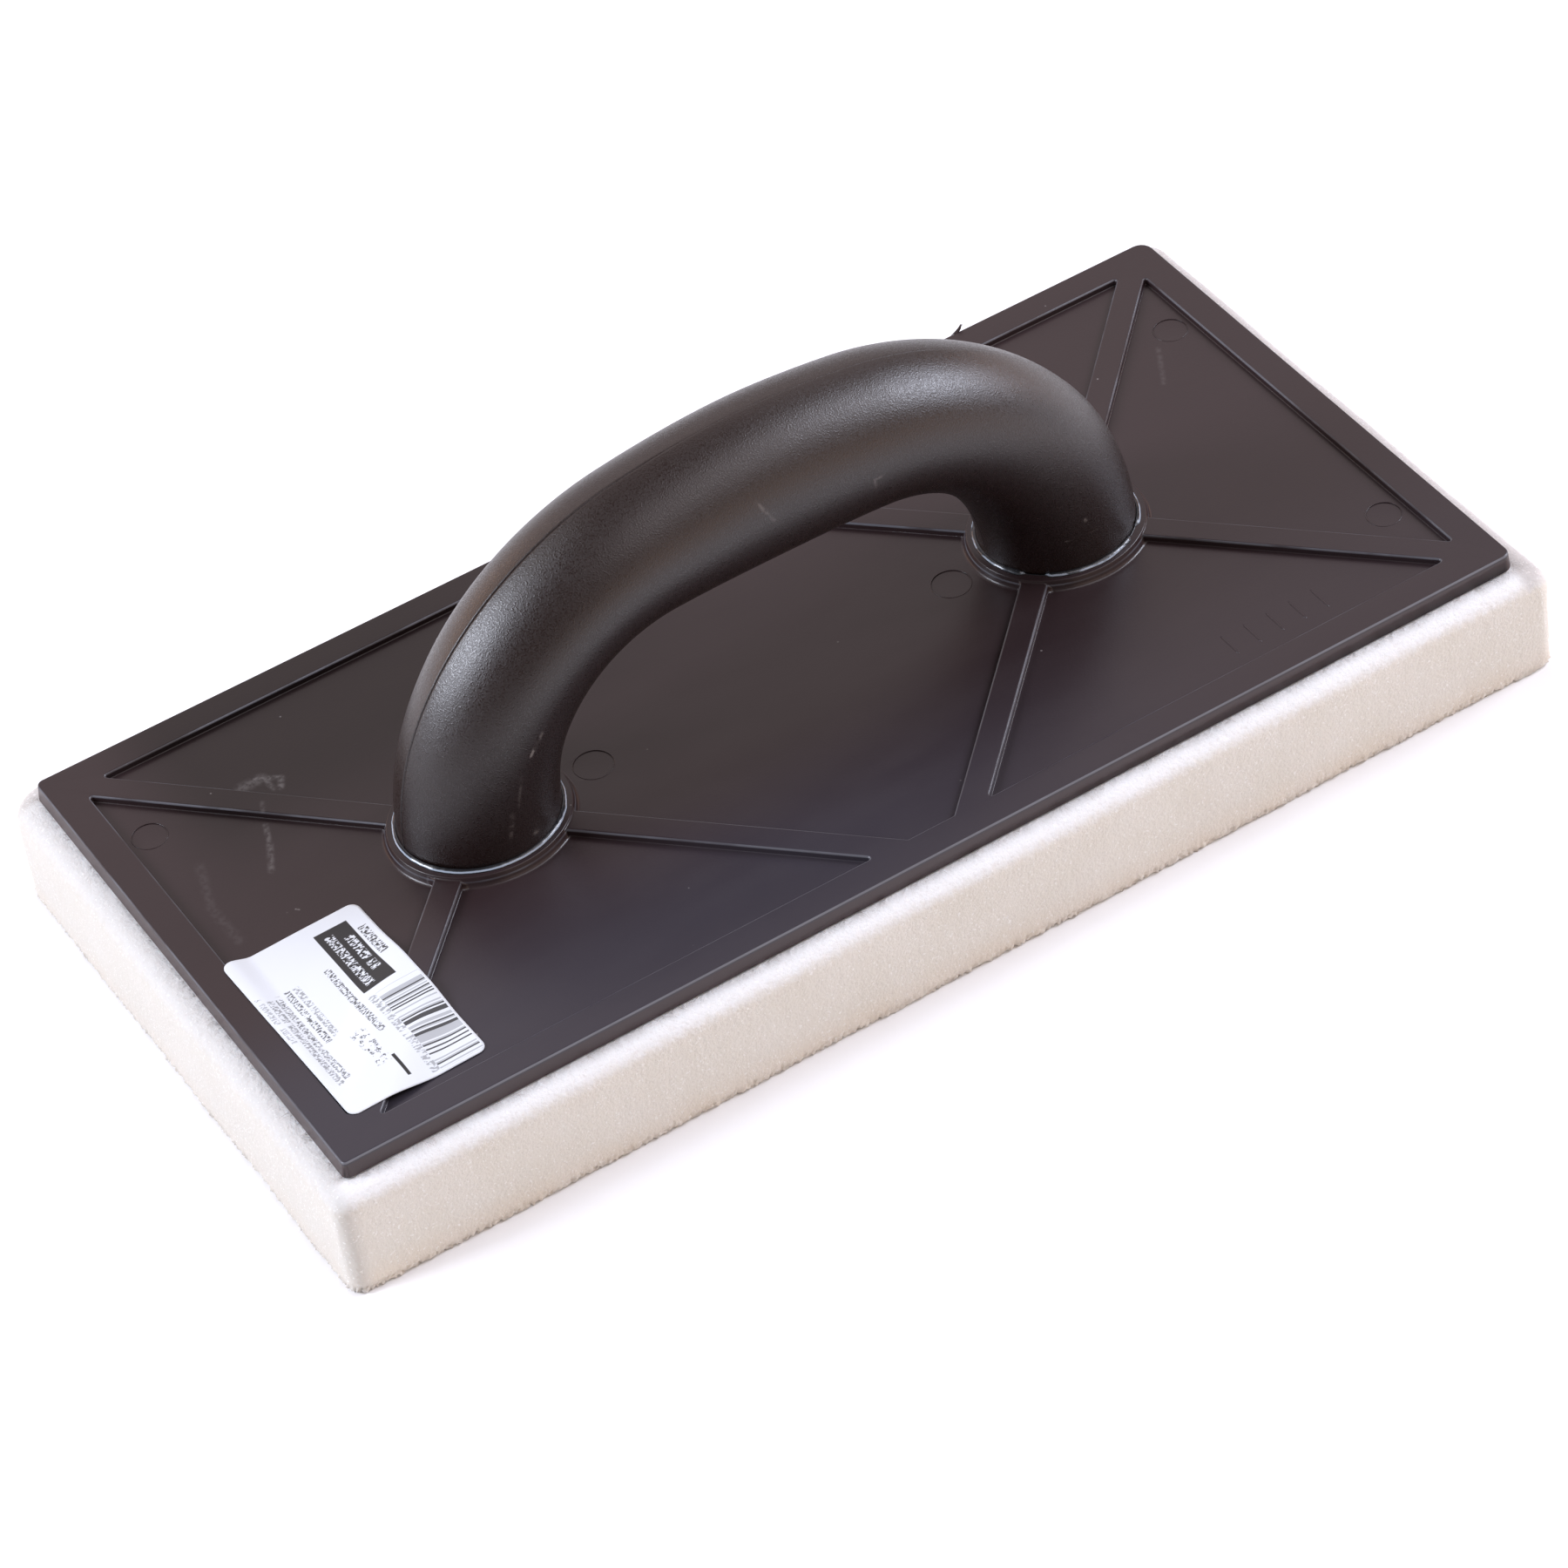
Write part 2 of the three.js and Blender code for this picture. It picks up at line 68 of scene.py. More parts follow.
def add_mesh(name, points, faces, smooth=True):
    """A mesh object in the part's frame."""
    mesh = bpy.data.meshes.new(name)
    mesh.from_pydata([tuple(p) for p in points], [], faces)
    mesh.validate()
    mesh.update()
    mesh.polygons.foreach_set("use_smooth", [smooth] * len(mesh.polygons))
    piece = bpy.data.objects.new(name, mesh)
    bpy.context.scene.collection.objects.link(piece)
    return piece


def ring_faces(ring_count, ring_size, closed):
    """Quads between following rings of points; a closed body also joins the last ring to the first."""
    faces = []
    for ring in range(ring_count if closed else ring_count - 1):
        here = ring * ring_size
        there = (ring + 1) % ring_count * ring_size
        for i in range(ring_size):
            j = (i + 1) % ring_size
            faces.append((here + i, here + j, there + j, there + i))
    return faces


def capped_faces(ring_count, ring_size):
    """Quads between following rings of points, with a flat cap on the first ring and on the last."""
    last = (ring_count - 1) * ring_size
    caps = [tuple(range(ring_size - 1, -1, -1)), tuple(range(last, last + ring_size))]
    return ring_faces(ring_count, ring_size, closed=False) + caps


def wobble(point, size, seed=0.0):
    """Smooth noise from about -1 to 1 whose bumps are about size across."""
    return noise.noise(Vector(point) / size + Vector((seed, 2 * seed, 3 * seed)))


def smoothstep(value, low, high):
    """Goes smoothly from 0 to 1 while value goes from low to high, in either direction."""
    share = min(1.0, max(0.0, (value - low) / (high - low)))
    return share * share * (3 - 2 * share)


# ---------------------------------------------------------------- materials


class Finish:
    """A procedural material, with short ways to add its nodes."""

    def __init__(self, name, **settings):
        self.material = bpy.data.materials.new(name)
        self.material.use_nodes = True
        tree = self.material.node_tree
        self.nodes = tree.nodes
        self.links = tree.links
        self.nodes.clear()
        self.shader = self.nodes.new("ShaderNodeBsdfPrincipled")
        output = self.nodes.new("ShaderNodeOutputMaterial")
        self.links.new(self.shader.outputs["BSDF"], output.inputs["Surface"])
        self.place = self.nodes.new("ShaderNodeTexCoord").outputs["Object"]
        for socket, value in settings.items():
            self.shader.inputs[socket.replace("_", " ")].default_value = value

    def set(self, socket, value):
        """Joins a node's output to an input of the shader."""
        self.links.new(value, self.shader.inputs[socket])

    def feed(self, socket, value):
        """Joins a node's output to a socket, or sets the socket to a plain value."""
        if hasattr(value, "links"):
            self.links.new(value, socket)
        else:
            socket.default_value = value

    def math(self, operation, *values, clamp=False):
        """Arithmetic on numbers or on other nodes' outputs."""
        node = self.nodes.new("ShaderNodeMath")
        node.operation = operation
        node.use_clamp = clamp
        for socket, value in zip(node.inputs, values):
            self.feed(socket, value)
        return node.outputs[0]

    def ramp(self, value, low, high, to_low=0.0, to_high=1.0):
        """Goes smoothly from to_low to to_high while value goes from low to high."""
        node = self.nodes.new("ShaderNodeMapRange")
        node.interpolation_type = "SMOOTHSTEP"
        for socket, number in zip(node.inputs, (value, low, high, to_low, to_high)):
            self.feed(socket, number)
        return node.outputs[0]

    def axes(self, vector=None):
        """The x, y and z of a place on the part, or of another vector."""
        node = self.nodes.new("ShaderNodeSeparateXYZ")
        self.feed(node.inputs[0], vector or self.place)
        return node.outputs

    def stretched(self, scale, vector=None):
        """Coordinates scaled per axis."""
        node = self.nodes.new("ShaderNodeMapping")
        node.inputs["Scale"].default_value = scale
        self.feed(node.inputs["Vector"], vector or self.place)
        return node.outputs[0]

    def noise(self, size, detail=2.0, rough=0.5, vector=None):
        """Noise from 0 to 1 whose bumps are about size across."""
        node = self.nodes.new("ShaderNodeTexNoise")
        node.inputs["Scale"].default_value = 1 / size
        node.inputs["Detail"].default_value = detail
        node.inputs["Roughness"].default_value = rough
        self.feed(node.inputs["Vector"], vector or self.place)
        return node.outputs["Fac"]

    def cells(self, size):
        """Distance within round cells that are about size across."""
        node = self.nodes.new("ShaderNodeTexVoronoi")
        node.inputs["Scale"].default_value = 1 / size
        self.feed(node.inputs["Vector"], self.place)
        return node.outputs["Distance"]

    def colour(self, factor, first, second):
        """Mixes two colours: factor 0 gives the first and factor 1 the second."""
        node = self.nodes.new("ShaderNodeMix")
        node.data_type = "RGBA"
        self.feed(node.inputs[0], factor)
        for socket, value in ((node.inputs[6], first), (node.inputs[7], second)):
            self.feed(socket, (*value, 1.0) if isinstance(value, tuple) else value)
        return node.outputs[2]

    def vector(self, operation, *values):
        """Vector maths; its outputs are a vector and a number."""
        node = self.nodes.new("ShaderNodeVectorMath")
        node.operation = operation
        for socket, value in zip(node.inputs, values):
            self.feed(socket, value)
        return node.outputs

    def stroke(self, start, end, half_width, strength):
        """A soft thin line between two places given in mm: strength on the line and 0 beside it."""
        run = (Vector(end) - Vector(start)) * MM
        offset = self.vector("SUBTRACT", self.place, Vector(start) * MM)[0]
        share = self.vector("DOT_PRODUCT", offset, run / run.length_squared)[1]
        share = self.math("MULTIPLY", share, 1.0, clamp=True)
        nearest = self.vector("MULTIPLY", share, run)[0]
        away = self.vector("LENGTH", self.vector("SUBTRACT", offset, nearest)[0])[1]
        return self.ramp(away, 0.0, half_width * MM, strength, 0.0)

    def most(self, masks):
        """The greatest of several masks."""
        result = masks[0]
        for mask in masks[1:]:
            result = self.math("MAXIMUM", result, mask)
        return result

    def bump(self, *layers):
        """Adds (height from 0 to 1, depth in metres) layers one over another as the shader's normal."""
        normal = None
        for height, depth in layers:
            node = self.nodes.new("ShaderNodeBump")
            node.inputs["Strength"].default_value = 1.0
            node.inputs["Distance"].default_value = depth
            self.links.new(height, node.inputs["Height"])
            if normal is not None:
                self.links.new(normal, node.inputs["Normal"])
            normal = node.outputs[0]
        self.set("Normal", normal)


def foam_finish():
    """Fine open-cell foam: soft and slightly see-through, with painted light along its top edge, painted
    warm bounce light low on its sides, and painted shade on its left end and on the ledges behind and
    right of the plate."""
    finish = Finish(
        "foam_rubber",
        Roughness=1.0,
        Specular_IOR_Level=0.15,
        Subsurface_Weight=0.2,
        Subsurface_Radius=(1.0, 0.85, 0.75),
        Subsurface_Scale=3 * MM,
    )
    x, y, height = finish.axes()
    patches = finish.ramp(finish.noise(14 * MM, 3.0), 0.3, 0.7)
    grain = finish.noise(0.7 * MM, 3.0, 0.65)
    # Painted warm bounce light: the sides are browner near the floor and fade to the plain colour 9 mm
    # up.
    above_painted_bounce = finish.ramp(height, 0.0, 9 * MM)
    body = finish.colour(above_painted_bounce, (0.74, 0.66, 0.56), (0.725, 0.68, 0.605))
    body = finish.colour(finish.math("MULTIPLY", patches, 0.4), body, (0.78, 0.74, 0.69))
    # Painted light: the foam's top and top edge are whiter, with a ragged lower border.
    ragged = finish.math("ADD", height, finish.math("MULTIPLY", finish.noise(1.6 * MM, 3.0), 2.4 * MM))
    top = finish.ramp(ragged, PAD_HIGH.z - 2.4 * MM, PAD_HIGH.z + 0.4 * MM)
    body = finish.colour(top, body, (0.82, 0.815, 0.81))
    # Painted shade on the foam's top ledges behind and right of the plate.
    right = finish.ramp(x, PLATE_HIGH.x - 2.4 * MM, PLATE_HIGH.x + 0.6 * MM)
    behind = finish.ramp(y, PLATE_HIGH.y - 2.4 * MM, PLATE_HIGH.y + 0.6 * MM)
    shaded_ledge = finish.math("MULTIPLY", top, finish.math("MAXIMUM", right, behind))
    body = finish.colour(shaded_ledge, body, (0.56, 0.53, 0.51))
    # Painted shade on the left end of the foam.
    shaded_left_end = finish.ramp(x, PAD_LOW.x + 2 * MM, PAD_LOW.x + 6 * MM, 0.5, 0.0)
    body = finish.colour(shaded_left_end, body, (0.52, 0.50, 0.47))
    glint = finish.ramp(finish.noise(0.55 * MM, 1.0), 0.60, 0.76, 0.0, 0.45)
    body = finish.colour(glint, body, (0.97, 0.96, 0.95))
    shade = finish.ramp(grain, 0.30, 0.48, 0.24, 0.0)
    finish.set("Base Color", finish.colour(shade, body, (0.62, 0.56, 0.52)))
    finish.bump((grain, 0.28 * MM), (finish.noise(2.2 * MM), 0.08 * MM))
    return finish.material


def fibre_finish():
    """Loose threads of foam skin and dried glue."""
    finish = Finish("foam_fibre", Roughness=0.9, Specular_IOR_Level=0.2)
    tone = finish.ramp(finish.noise(2 * MM, 2.0), 0.3, 0.55)
    finish.set("Base Color", finish.colour(tone, (0.50, 0.45, 0.42), (0.84, 0.82, 0.81)))
    finish.bump((finish.noise(0.3 * MM), 0.01 * MM))
    return finish.material


def adhesive_finish():
    """Yellowed contact adhesive with a stringy, uneven skin."""
    finish = Finish("adhesive", Specular_IOR_Level=0.5)
    blotch = finish.noise(5 * MM, 3.0)
    strings = finish.noise(1 * MM, 3.0, vector=finish.stretched((1.0, 0.3, 1.0)))
    finish.set("Base Color", finish.colour(blotch, (0.50, 0.44, 0.28), (0.34, 0.28, 0.16)))
    finish.set("Roughness", finish.ramp(strings, 0.3, 0.7, 0.35, 0.7))
    finish.bump((strings, 0.08 * MM))
    return finish.material


# Scuffs on the plate as (start, end, half width, strength), with places in mm
SCUFFS = [
    ((-101.8, 38.6, 27.5), (-97.5, 38.6, 27.5), 2.2, 0.13),
    ((-98.4, 39.2, 27.5), (-94.0, 36.4, 27.5), 1.1, 0.22),
    ((-94.0, 36.4, 27.5), (-95.4, 33.8, 27.5), 1.1, 0.18),
    ((-97.0, 37.4, 27.5), (-96.6, 34.4, 27.5), 1.0, 0.14),
    ((-103.0, 26.2, 27.5), (-104.9, 20.8, 27.5), 0.9, 0.16),
    ((-104.9, 20.8, 27.5), (-108.2, 14.0, 27.5), 1.1, 0.16),
    ((-101.0, 30.8, 29.0), (-102.0, 28.6, 29.0), 0.8, 0.08),
    ((-119.0, 24.0, 27.5), (-122.6, 12.0, 27.5), 1.6, 0.045),
    ((-122.6, 12.0, 27.5), (-122.4, 0.7, 27.5), 1.8, 0.045),
    ((-109.4, 1.5, 27.5), (-109.0, 1.0, 27.5), 0.35, 0.5),
    ((-98.4, -50.2, 27.5), (-97.9, -49.9, 27.5), 0.45, 0.5),
    ((112.0, 24.5, 27.5), (117.6, 34.6, 27.5), 0.9, 0.06),
]


def plate_tones(finish, body):
    """Painted bluish light towards the front, and a painted shadow of the handle at the back left."""
    x, y, _ = finish.axes()
    # Painted shadow of the handle on the back left of the plate.
    behind = finish.ramp(y, 8 * MM, 38 * MM, 0.0, 0.9)
    leftward = finish.ramp(x, -60 * MM, 20 * MM, 1.0, 0.0)
    short_of_end = finish.ramp(x, -126 * MM, -106 * MM)
    handle_shadow = finish.math("MULTIPLY", finish.math("MULTIPLY", behind, leftward), short_of_end)
    body = finish.colour(handle_shadow, body, (0.007, 0.0030, 0.0030))
    # Painted bluish light on the front of the plate, fading towards the back and towards the right.
    in_front = finish.ramp(y, -52 * MM, -12 * MM, 1.0, 0.0)
    painted_front_light = finish.math("MULTIPLY", in_front, finish.ramp(x, -30 * MM, 90 * MM, 1.0, 0.2))
    return finish.colour(painted_front_light, body, (0.036, 0.031, 0.0395))


def plate_edges(finish, body):
    """Painted reflection on the outer sides, painted highlights on the top edges, brightest at the
    front.
    """
    x, y, height = finish.axes()
    # Painted reflection of the foam: the plate's outer sides are browner below the top edge.
    outside = finish.math(
        "MAXIMUM",
        finish.ramp(finish.math("ABSOLUTE", x), PLATE_HIGH.x - 0.9 * MM, PLATE_HIGH.x - 0.7 * MM),
        finish.ramp(finish.math("ABSOLUTE", y), PLATE_HIGH.y - 0.9 * MM, PLATE_HIGH.y - 0.7 * MM),
    )
    under_edge = finish.ramp(height, PLATE_TOP - 0.9 * MM, PLATE_TOP - 0.6 * MM, 0.8, 0.0)
    body = finish.colour(finish.math("MULTIPLY", outside, under_edge), body, (0.050, 0.030, 0.029))
    # Painted bluish highlight along the rounded top edges of the rim and ribs, broken up by noise.
    edge_highlight = finish.math(
        "MULTIPLY",
        finish.ramp(height, PLATE_TOP - 0.45 * MM, PLATE_TOP - 0.3 * MM),
        finish.ramp(height, PLATE_TOP - 0.07 * MM, PLATE_TOP - 0.02 * MM, 1.0, 0.0),
    )
    uneven = finish.ramp(finish.noise(12 * MM, 3.0), 0.35, 0.6, 0.3, 1.0)
    body = finish.colour(finish.math("MULTIPLY", edge_highlight, uneven), body, (0.10, 0.10, 0.115))
    # Painted highlight, brighter still, on the plate's front top edge.
    front = finish.ramp(y, PLATE_LOW.y + 0.9 * MM, PLATE_LOW.y + 1.2 * MM, 0.65, 0.0)
    return finish.colour(finish.math("MULTIPLY", edge_highlight, front), body, (0.17, 0.17, 0.19))


def plate_finish():
    """Satin black moulded plastic with a fine mould texture, faint flow marks, scuffs and dust."""
    finish = Finish("plate_plastic", Specular_IOR_Level=0.5)
    drift = finish.noise(55 * MM, 2.0)
    fine = finish.noise(0.5 * MM, 2.0)
    flow = finish.noise(7 * MM, 2.0, vector=finish.stretched((0.35, 1.0, 1.0)))
    breakup = finish.ramp(finish.noise(1.2 * MM, 3.0), 0.36, 0.62, 0.15, 1.0)
    marked = finish.math("MULTIPLY", finish.most([finish.stroke(*scuff) for scuff in SCUFFS]), breakup)
    specks = finish.ramp(finish.cells(7 * MM), 0.02, 0.04, 1.0, 0.0)
    dust = finish.math("MULTIPLY", specks, finish.ramp(finish.noise(30 * MM), 0.5, 0.6, 0.0, 0.35))
    worn = finish.math("MAXIMUM", marked, dust)
    body = finish.colour(drift, (0.024, 0.0135, 0.0140), (0.029, 0.0175, 0.0190))
    body = plate_edges(finish, plate_tones(finish, body))
    finish.set("Base Color", finish.colour(worn, body, (0.42, 0.39, 0.38)))
    gloss = finish.ramp(flow, 0.3, 0.7, 0.28, 0.34)
    finish.set("Roughness", finish.math("ADD", gloss, finish.math("MULTIPLY", worn, 0.3)))
    finish.bump((fine, 0.014 * MM), (flow, 0.02 * MM))
    return finish.material


# Scratches on the handle's front as (start, end, half width, strength), with places in mm
SCRATCHES = [
    ((-58.6, -15.8, 57.5), (-60.2, -15.8, 55.4), 0.6, 0.16),
    ((-60.6, -15.8, 55.0), (-62.0, -15.8, 53.1), 0.55, 0.34),
    ((-64.6, -15.8, 49.3), (-66.6, -15.8, 41.9), 0.5, 0.09),
    ((-68.0, -15.7, 41.5), (-69.1, -15.7, 36.0), 0.8, 0.10),
    ((-64.0, -15.1, 33.6), (-63.2, -15.1, 33.0), 0.9, 0.14),
    ((-5.5, -14.4, 85.8), (-2.8, -15.7, 80.6), 0.6, 0.13),
    ((20.0, -15.7, 76.4), (19.8, -15.8, 78.6), 0.5, 0.14),
    ((19.8, -15.8, 78.6), (22.0, -15.8, 78.5), 0.45, 0.12),
    ((61.5, -14.8, 38.4), (68.3, -15.7, 38.6), 0.35, 0.10),
    ((68.3, -15.7, 38.6), (76.9, -13.3, 36.8), 0.35, 0.09),
    ((66.0, -15.8, 42.6), (66.2, -15.8, 42.1), 0.5, 0.22),
]


def handle_finish():
    """Near-black brown plastic with a spark-eroded grain that glitters in its highlights."""
    finish = Finish("handle_plastic", Specular_IOR_Level=0.75)
    drift = finish.noise(40 * MM, 2.0)
    grain = finish.noise(0.34 * MM, 2.0, 0.6)
    ripple = finish.noise(3.5 * MM, 2.0)
    body = finish.colour(drift, (0.010, 0.0032, 0.0024), (0.014, 0.0056, 0.0044))
    scratched = finish.most([finish.stroke(*scratch) for scratch in SCRATCHES])
    breakup = finish.ramp(finish.noise(1.4 * MM, 2.0), 0.42, 0.6, 0.1, 1.0)
    scratched = finish.math("MULTIPLY", scratched, breakup)
    finish.set("Base Color", finish.colour(scratched, body, (0.60, 0.54, 0.50)))
    finish.set("Roughness", finish.ramp(grain, 0.38, 0.64, 0.44, 0.26))
    finish.bump((grain, 0.085 * MM), (ripple, 0.02 * MM))
    return finish.material


def cement_finish():
    """Dark, wet-looking solvent cement with a painted highlight line along its crest, whole round the
    left foot and patchy round the right one."""
    finish = Finish("cement", Specular_IOR_Level=0.6)
    ripple = finish.noise(1.8 * MM, 2.0)
    dark = finish.colour(ripple, (0.012, 0.012, 0.014), (0.02, 0.021, 0.025))
    x, _, height = finish.axes()
    # Painted bluish highlight along the bead's crest, whole round the left foot and broken up round the
    # right.
    rise = finish.ramp(height, SEAT + 0.12 * MM, SEAT + 0.26 * MM)
    fall = finish.ramp(height, SEAT + 0.36 * MM, SEAT + 0.52 * MM, 1.0, 0.0)
    bead_highlight = finish.math("MULTIPLY", rise, fall)
    uneven = finish.ramp(finish.noise(5 * MM, 3.0), 0.42, 0.56, 0.1, 1.0)
    whole_on_left = finish.ramp(x, -40 * MM, 40 * MM, 1.0, 0.0)
    bead_highlight = finish.math("MULTIPLY", bead_highlight, finish.math("MAXIMUM", uneven, whole_on_left))
    finish.set("Base Color", finish.colour(bead_highlight, dark, (0.36, 0.42, 0.50)))
    finish.set("Roughness", finish.ramp(ripple, 0.3, 0.7, 0.14, 0.24))
    finish.bump((ripple, 0.03 * MM))
    return finish.material


# ---------------------------------------------------------------- label print


class Print(Finish):
    """Ink masks in the label's own flat coordinates, in mm from its centre."""

    def __init__(self, name, **settings):
        super().__init__(name, **settings)
        node = self.nodes.new("ShaderNodeUVMap")
        node.uv_map = "flat"
        self.flat = node.outputs[0]
        self.across, self.along, _ = self.axes(self.flat)

    def block(self, centre, half, soft=0.07):
        """A crisp filled rectangle."""
        off_x = self.math("ABSOLUTE", self.math("SUBTRACT", self.across, centre[0]))
        off_y = self.math("ABSOLUTE", self.math("SUBTRACT", self.along, centre[1]))
        outside = self.math(
            "MAXIMUM",
            self.math("SUBTRACT", off_x, half[0]),
            self.math("SUBTRACT", off_y, half[1]),
        )
        return self.ramp(outside, -soft, soft, 1.0, 0.0)

    def greek(self, centre, half, letter, ink):
        """A line of unreadable marks in word-like groups, as small print looks from far off."""
        strokes = self.noise(letter, 1.0, vector=self.stretched((1.0, 2.0, 1.0), vector=self.flat))
        strokes = self.ramp(strokes, 0.47, 0.54)
        words = self.noise(2.6, 1.0, vector=self.stretched((0.2, 1.0, 1.0), vector=self.flat))
        words = self.ramp(words, 0.36, 0.41)
        inked = self.math("MULTIPLY", self.math("MULTIPLY", strokes, words), ink)
        return self.math("MULTIPLY", self.block(centre, half, 0.12), inked)

    def sketch(self, centre, half, ink):
        """A small patch of irregular marks in place of a picture."""
        marks = self.ramp(self.noise(1.3, 3.0, 0.7, vector=self.flat), 0.54, 0.58)
        edge = self.ramp(self.noise(1.3, 3.0, 0.7, vector=self.flat), 0.62, 0.66, 1.0, 0.0)
        marks = self.math("MULTIPLY", self.math("MULTIPLY", marks, edge), ink)
        return self.math("MULTIPLY", self.block(centre, half, 0.3), marks)

    def bars(self, centre, half, pitch):
        """Parallel bars of uneven width and depth of ink that run across the label."""
        step = self.math("FLOOR", self.math("DIVIDE", self.along, pitch))
        node = self.nodes.new("ShaderNodeTexWhiteNoise")
        node.noise_dimensions = "1D"
        self.links.new(step, node.inputs["W"])
        dark = self.math("MULTIPLY", self.math("GREATER_THAN", node.outputs["Value"], 0.70), 0.55)
        grey = self.math("MULTIPLY", self.math("GREATER_THAN", node.outputs["Value"], 0.38), 0.40)
        return self.math("MULTIPLY", self.block(centre, half), self.math("ADD", dark, grey))


def label_finish():
    """Matt white paper with plain printed blocks, bars and unreadable lines."""
    finish = Print("label_paper", Specular_IOR_Level=0.35)
    title = finish.block((7.3, 12.0), (3.7, 9.9))
    title_lines = finish.most([
        finish.greek((6.0, 11.8), (1.0, 8.3), 0.85, 0.95),
        finish.greek((9.2, 12.2), (1.0, 5.6), 0.85, 0.95),
    ])
    ink = finish.most([
        finish.math("SUBTRACT", title, title_lines, clamp=True),
        finish.greek((12.6, 14.0), (0.95, 4.6), 0.85, 0.95),
        finish.greek((1.2, 1.5), (0.75, 11.0), 0.75, 0.85),
        finish.greek((-5.9, 4.2), (0.7, 8.2), 0.75, 0.55),
        finish.greek((-7.9, 4.0), (0.7, 8.4), 0.7, 0.85),
        finish.greek((-10.2, -1.8), (0.7, 14.0), 0.7, 0.75),
        finish.greek((-12.0, -2.5), (0.7, 14.2), 0.7, 0.6),
        finish.greek((-13.8, 5.5), (0.6, 7.4), 0.7, 0.45),
        finish.greek((4.2, -11.8), (0.85, 12.4), 1.1, 0.5),
        finish.bars((9.8, -12.2), (4.7, 12.3), 0.36),
        finish.block((-0.6, -19.4), (0.36, 3.2)),
        finish.sketch((-2.8, -11.5), (1.5, 5.6), 0.9),
    ])
    fibre = finish.noise(0.35 * MM, 2.0)
    stain = finish.noise(12 * MM, 2.0)
    paper = finish.colour(stain, (0.69, 0.72, 0.755), (0.715, 0.735, 0.77))
    finish.set("Base Color", finish.colour(ink, paper, (0.035, 0.033, 0.033)))
    finish.set("Roughness", finish.ramp(stain, 0.3, 0.7, 0.5, 0.6))
    finish.bump((fibre, 0.006 * MM))
    return finish.material


# ---------------------------------------------------------------- foam pad

# Sizes in mm; the corner radii run anticlockwise from the front left corner
PAD_OUTLINE_POINTS = 2500
PAD_CORNER_RADII = (3.0, 3.5, 5.0, 8.0)
PAD_CORNER_STEPS = 12
PAD_TOP_ROUND = 4.2
PAD_TOP_ROUND_STEPS = 8
PAD_FOOT_ROUND = 0.8
PAD_FOOT_ROUND_STEPS = 3
PAD_FACE_INSETS = (60.0, 25.0, 8.0, 3.5, 2.2, 1.4)
PAD_TOP_INSETS = (5.0, 6.0, 7.2, 9.0)
PAD_FIRST_STEP = 0.4
PAD_STEP_GROWTH = 1.2
PAD_LONGEST_STEP = 2.0
PAD_MIDDLE = 12.0
TORN_HEIGHT = 3.2
TORN_FULLY = 0.4
FLAT_INSET = 30.0
LOOSE_INSET = 6.0


def pad_outline():
    """Points evenly spaced along the pad's rounded outline, anticlockwise from the front left corner."""
    half_x, half_y = PAD_HIGH.x, PAD_HIGH.y
    points = []
    signs = ((-1, -1), (1, -1), (1, 1), (-1, 1))
    for turn, ((sign_x, sign_y), radius) in enumerate(zip(signs, PAD_CORNER_RADII)):
        r = radius * MM
        centre = Vector((sign_x * (half_x - r), sign_y * (half_y - r)))
        for k in range(PAD_CORNER_STEPS + 1):
            angle = math.pi + math.pi / 2 * (turn + k / PAD_CORNER_STEPS)
            points.append(centre + r * Vector((math.cos(angle), math.sin(angle))))
    outline = np.array([tuple(p) for p in points])
    closed = np.vstack([outline, outline[:1]])
    lengths = np.concatenate([[0], np.cumsum(np.hypot(*np.diff(closed, axis=0).T))])
    at = np.linspace(0, lengths[-1], PAD_OUTLINE_POINTS, endpoint=False)
    return np.column_stack([np.interp(at, lengths, closed[:, 0]), np.interp(at, lengths, closed[:, 1])])


def pad_levels():
    """(height, inset) pairs in mm from the middle of the working face, up the side and over the top."""
    top = (PAD_HIGH.z - PAD_LOW.z) / MM
    levels = [(0.0, inset) for inset in PAD_FACE_INSETS]
    for k in range(PAD_FOOT_ROUND_STEPS + 1):
        angle = math.pi / 2 * (k / PAD_FOOT_ROUND_STEPS - 1)
        inset = PAD_FOOT_ROUND * (1 - math.cos(angle))
        levels.append((PAD_FOOT_ROUND * (1 + math.sin(angle)), inset))
    height = levels[-1][0]
    step = PAD_FIRST_STEP
    while height + step < top - PAD_TOP_ROUND:
        height += step
        levels.append((height, 0.0))
        step = min(step * PAD_STEP_GROWTH, PAD_LONGEST_STEP)
    for k in range(PAD_TOP_ROUND_STEPS + 1):
        angle = math.pi / 2 * k / PAD_TOP_ROUND_STEPS
        inset = PAD_TOP_ROUND * (1 - math.cos(angle))
        levels.append((top - PAD_TOP_ROUND * (1 - math.sin(angle)), inset))
    return levels + [(top, inset) for inset in PAD_TOP_INSETS]


def round_off(share):
    """Pulls a share of the half length to 0 in the middle of a side and to 1 at its end."""
    return math.copysign(smoothstep(abs(share), 0.93, 1.0), share)


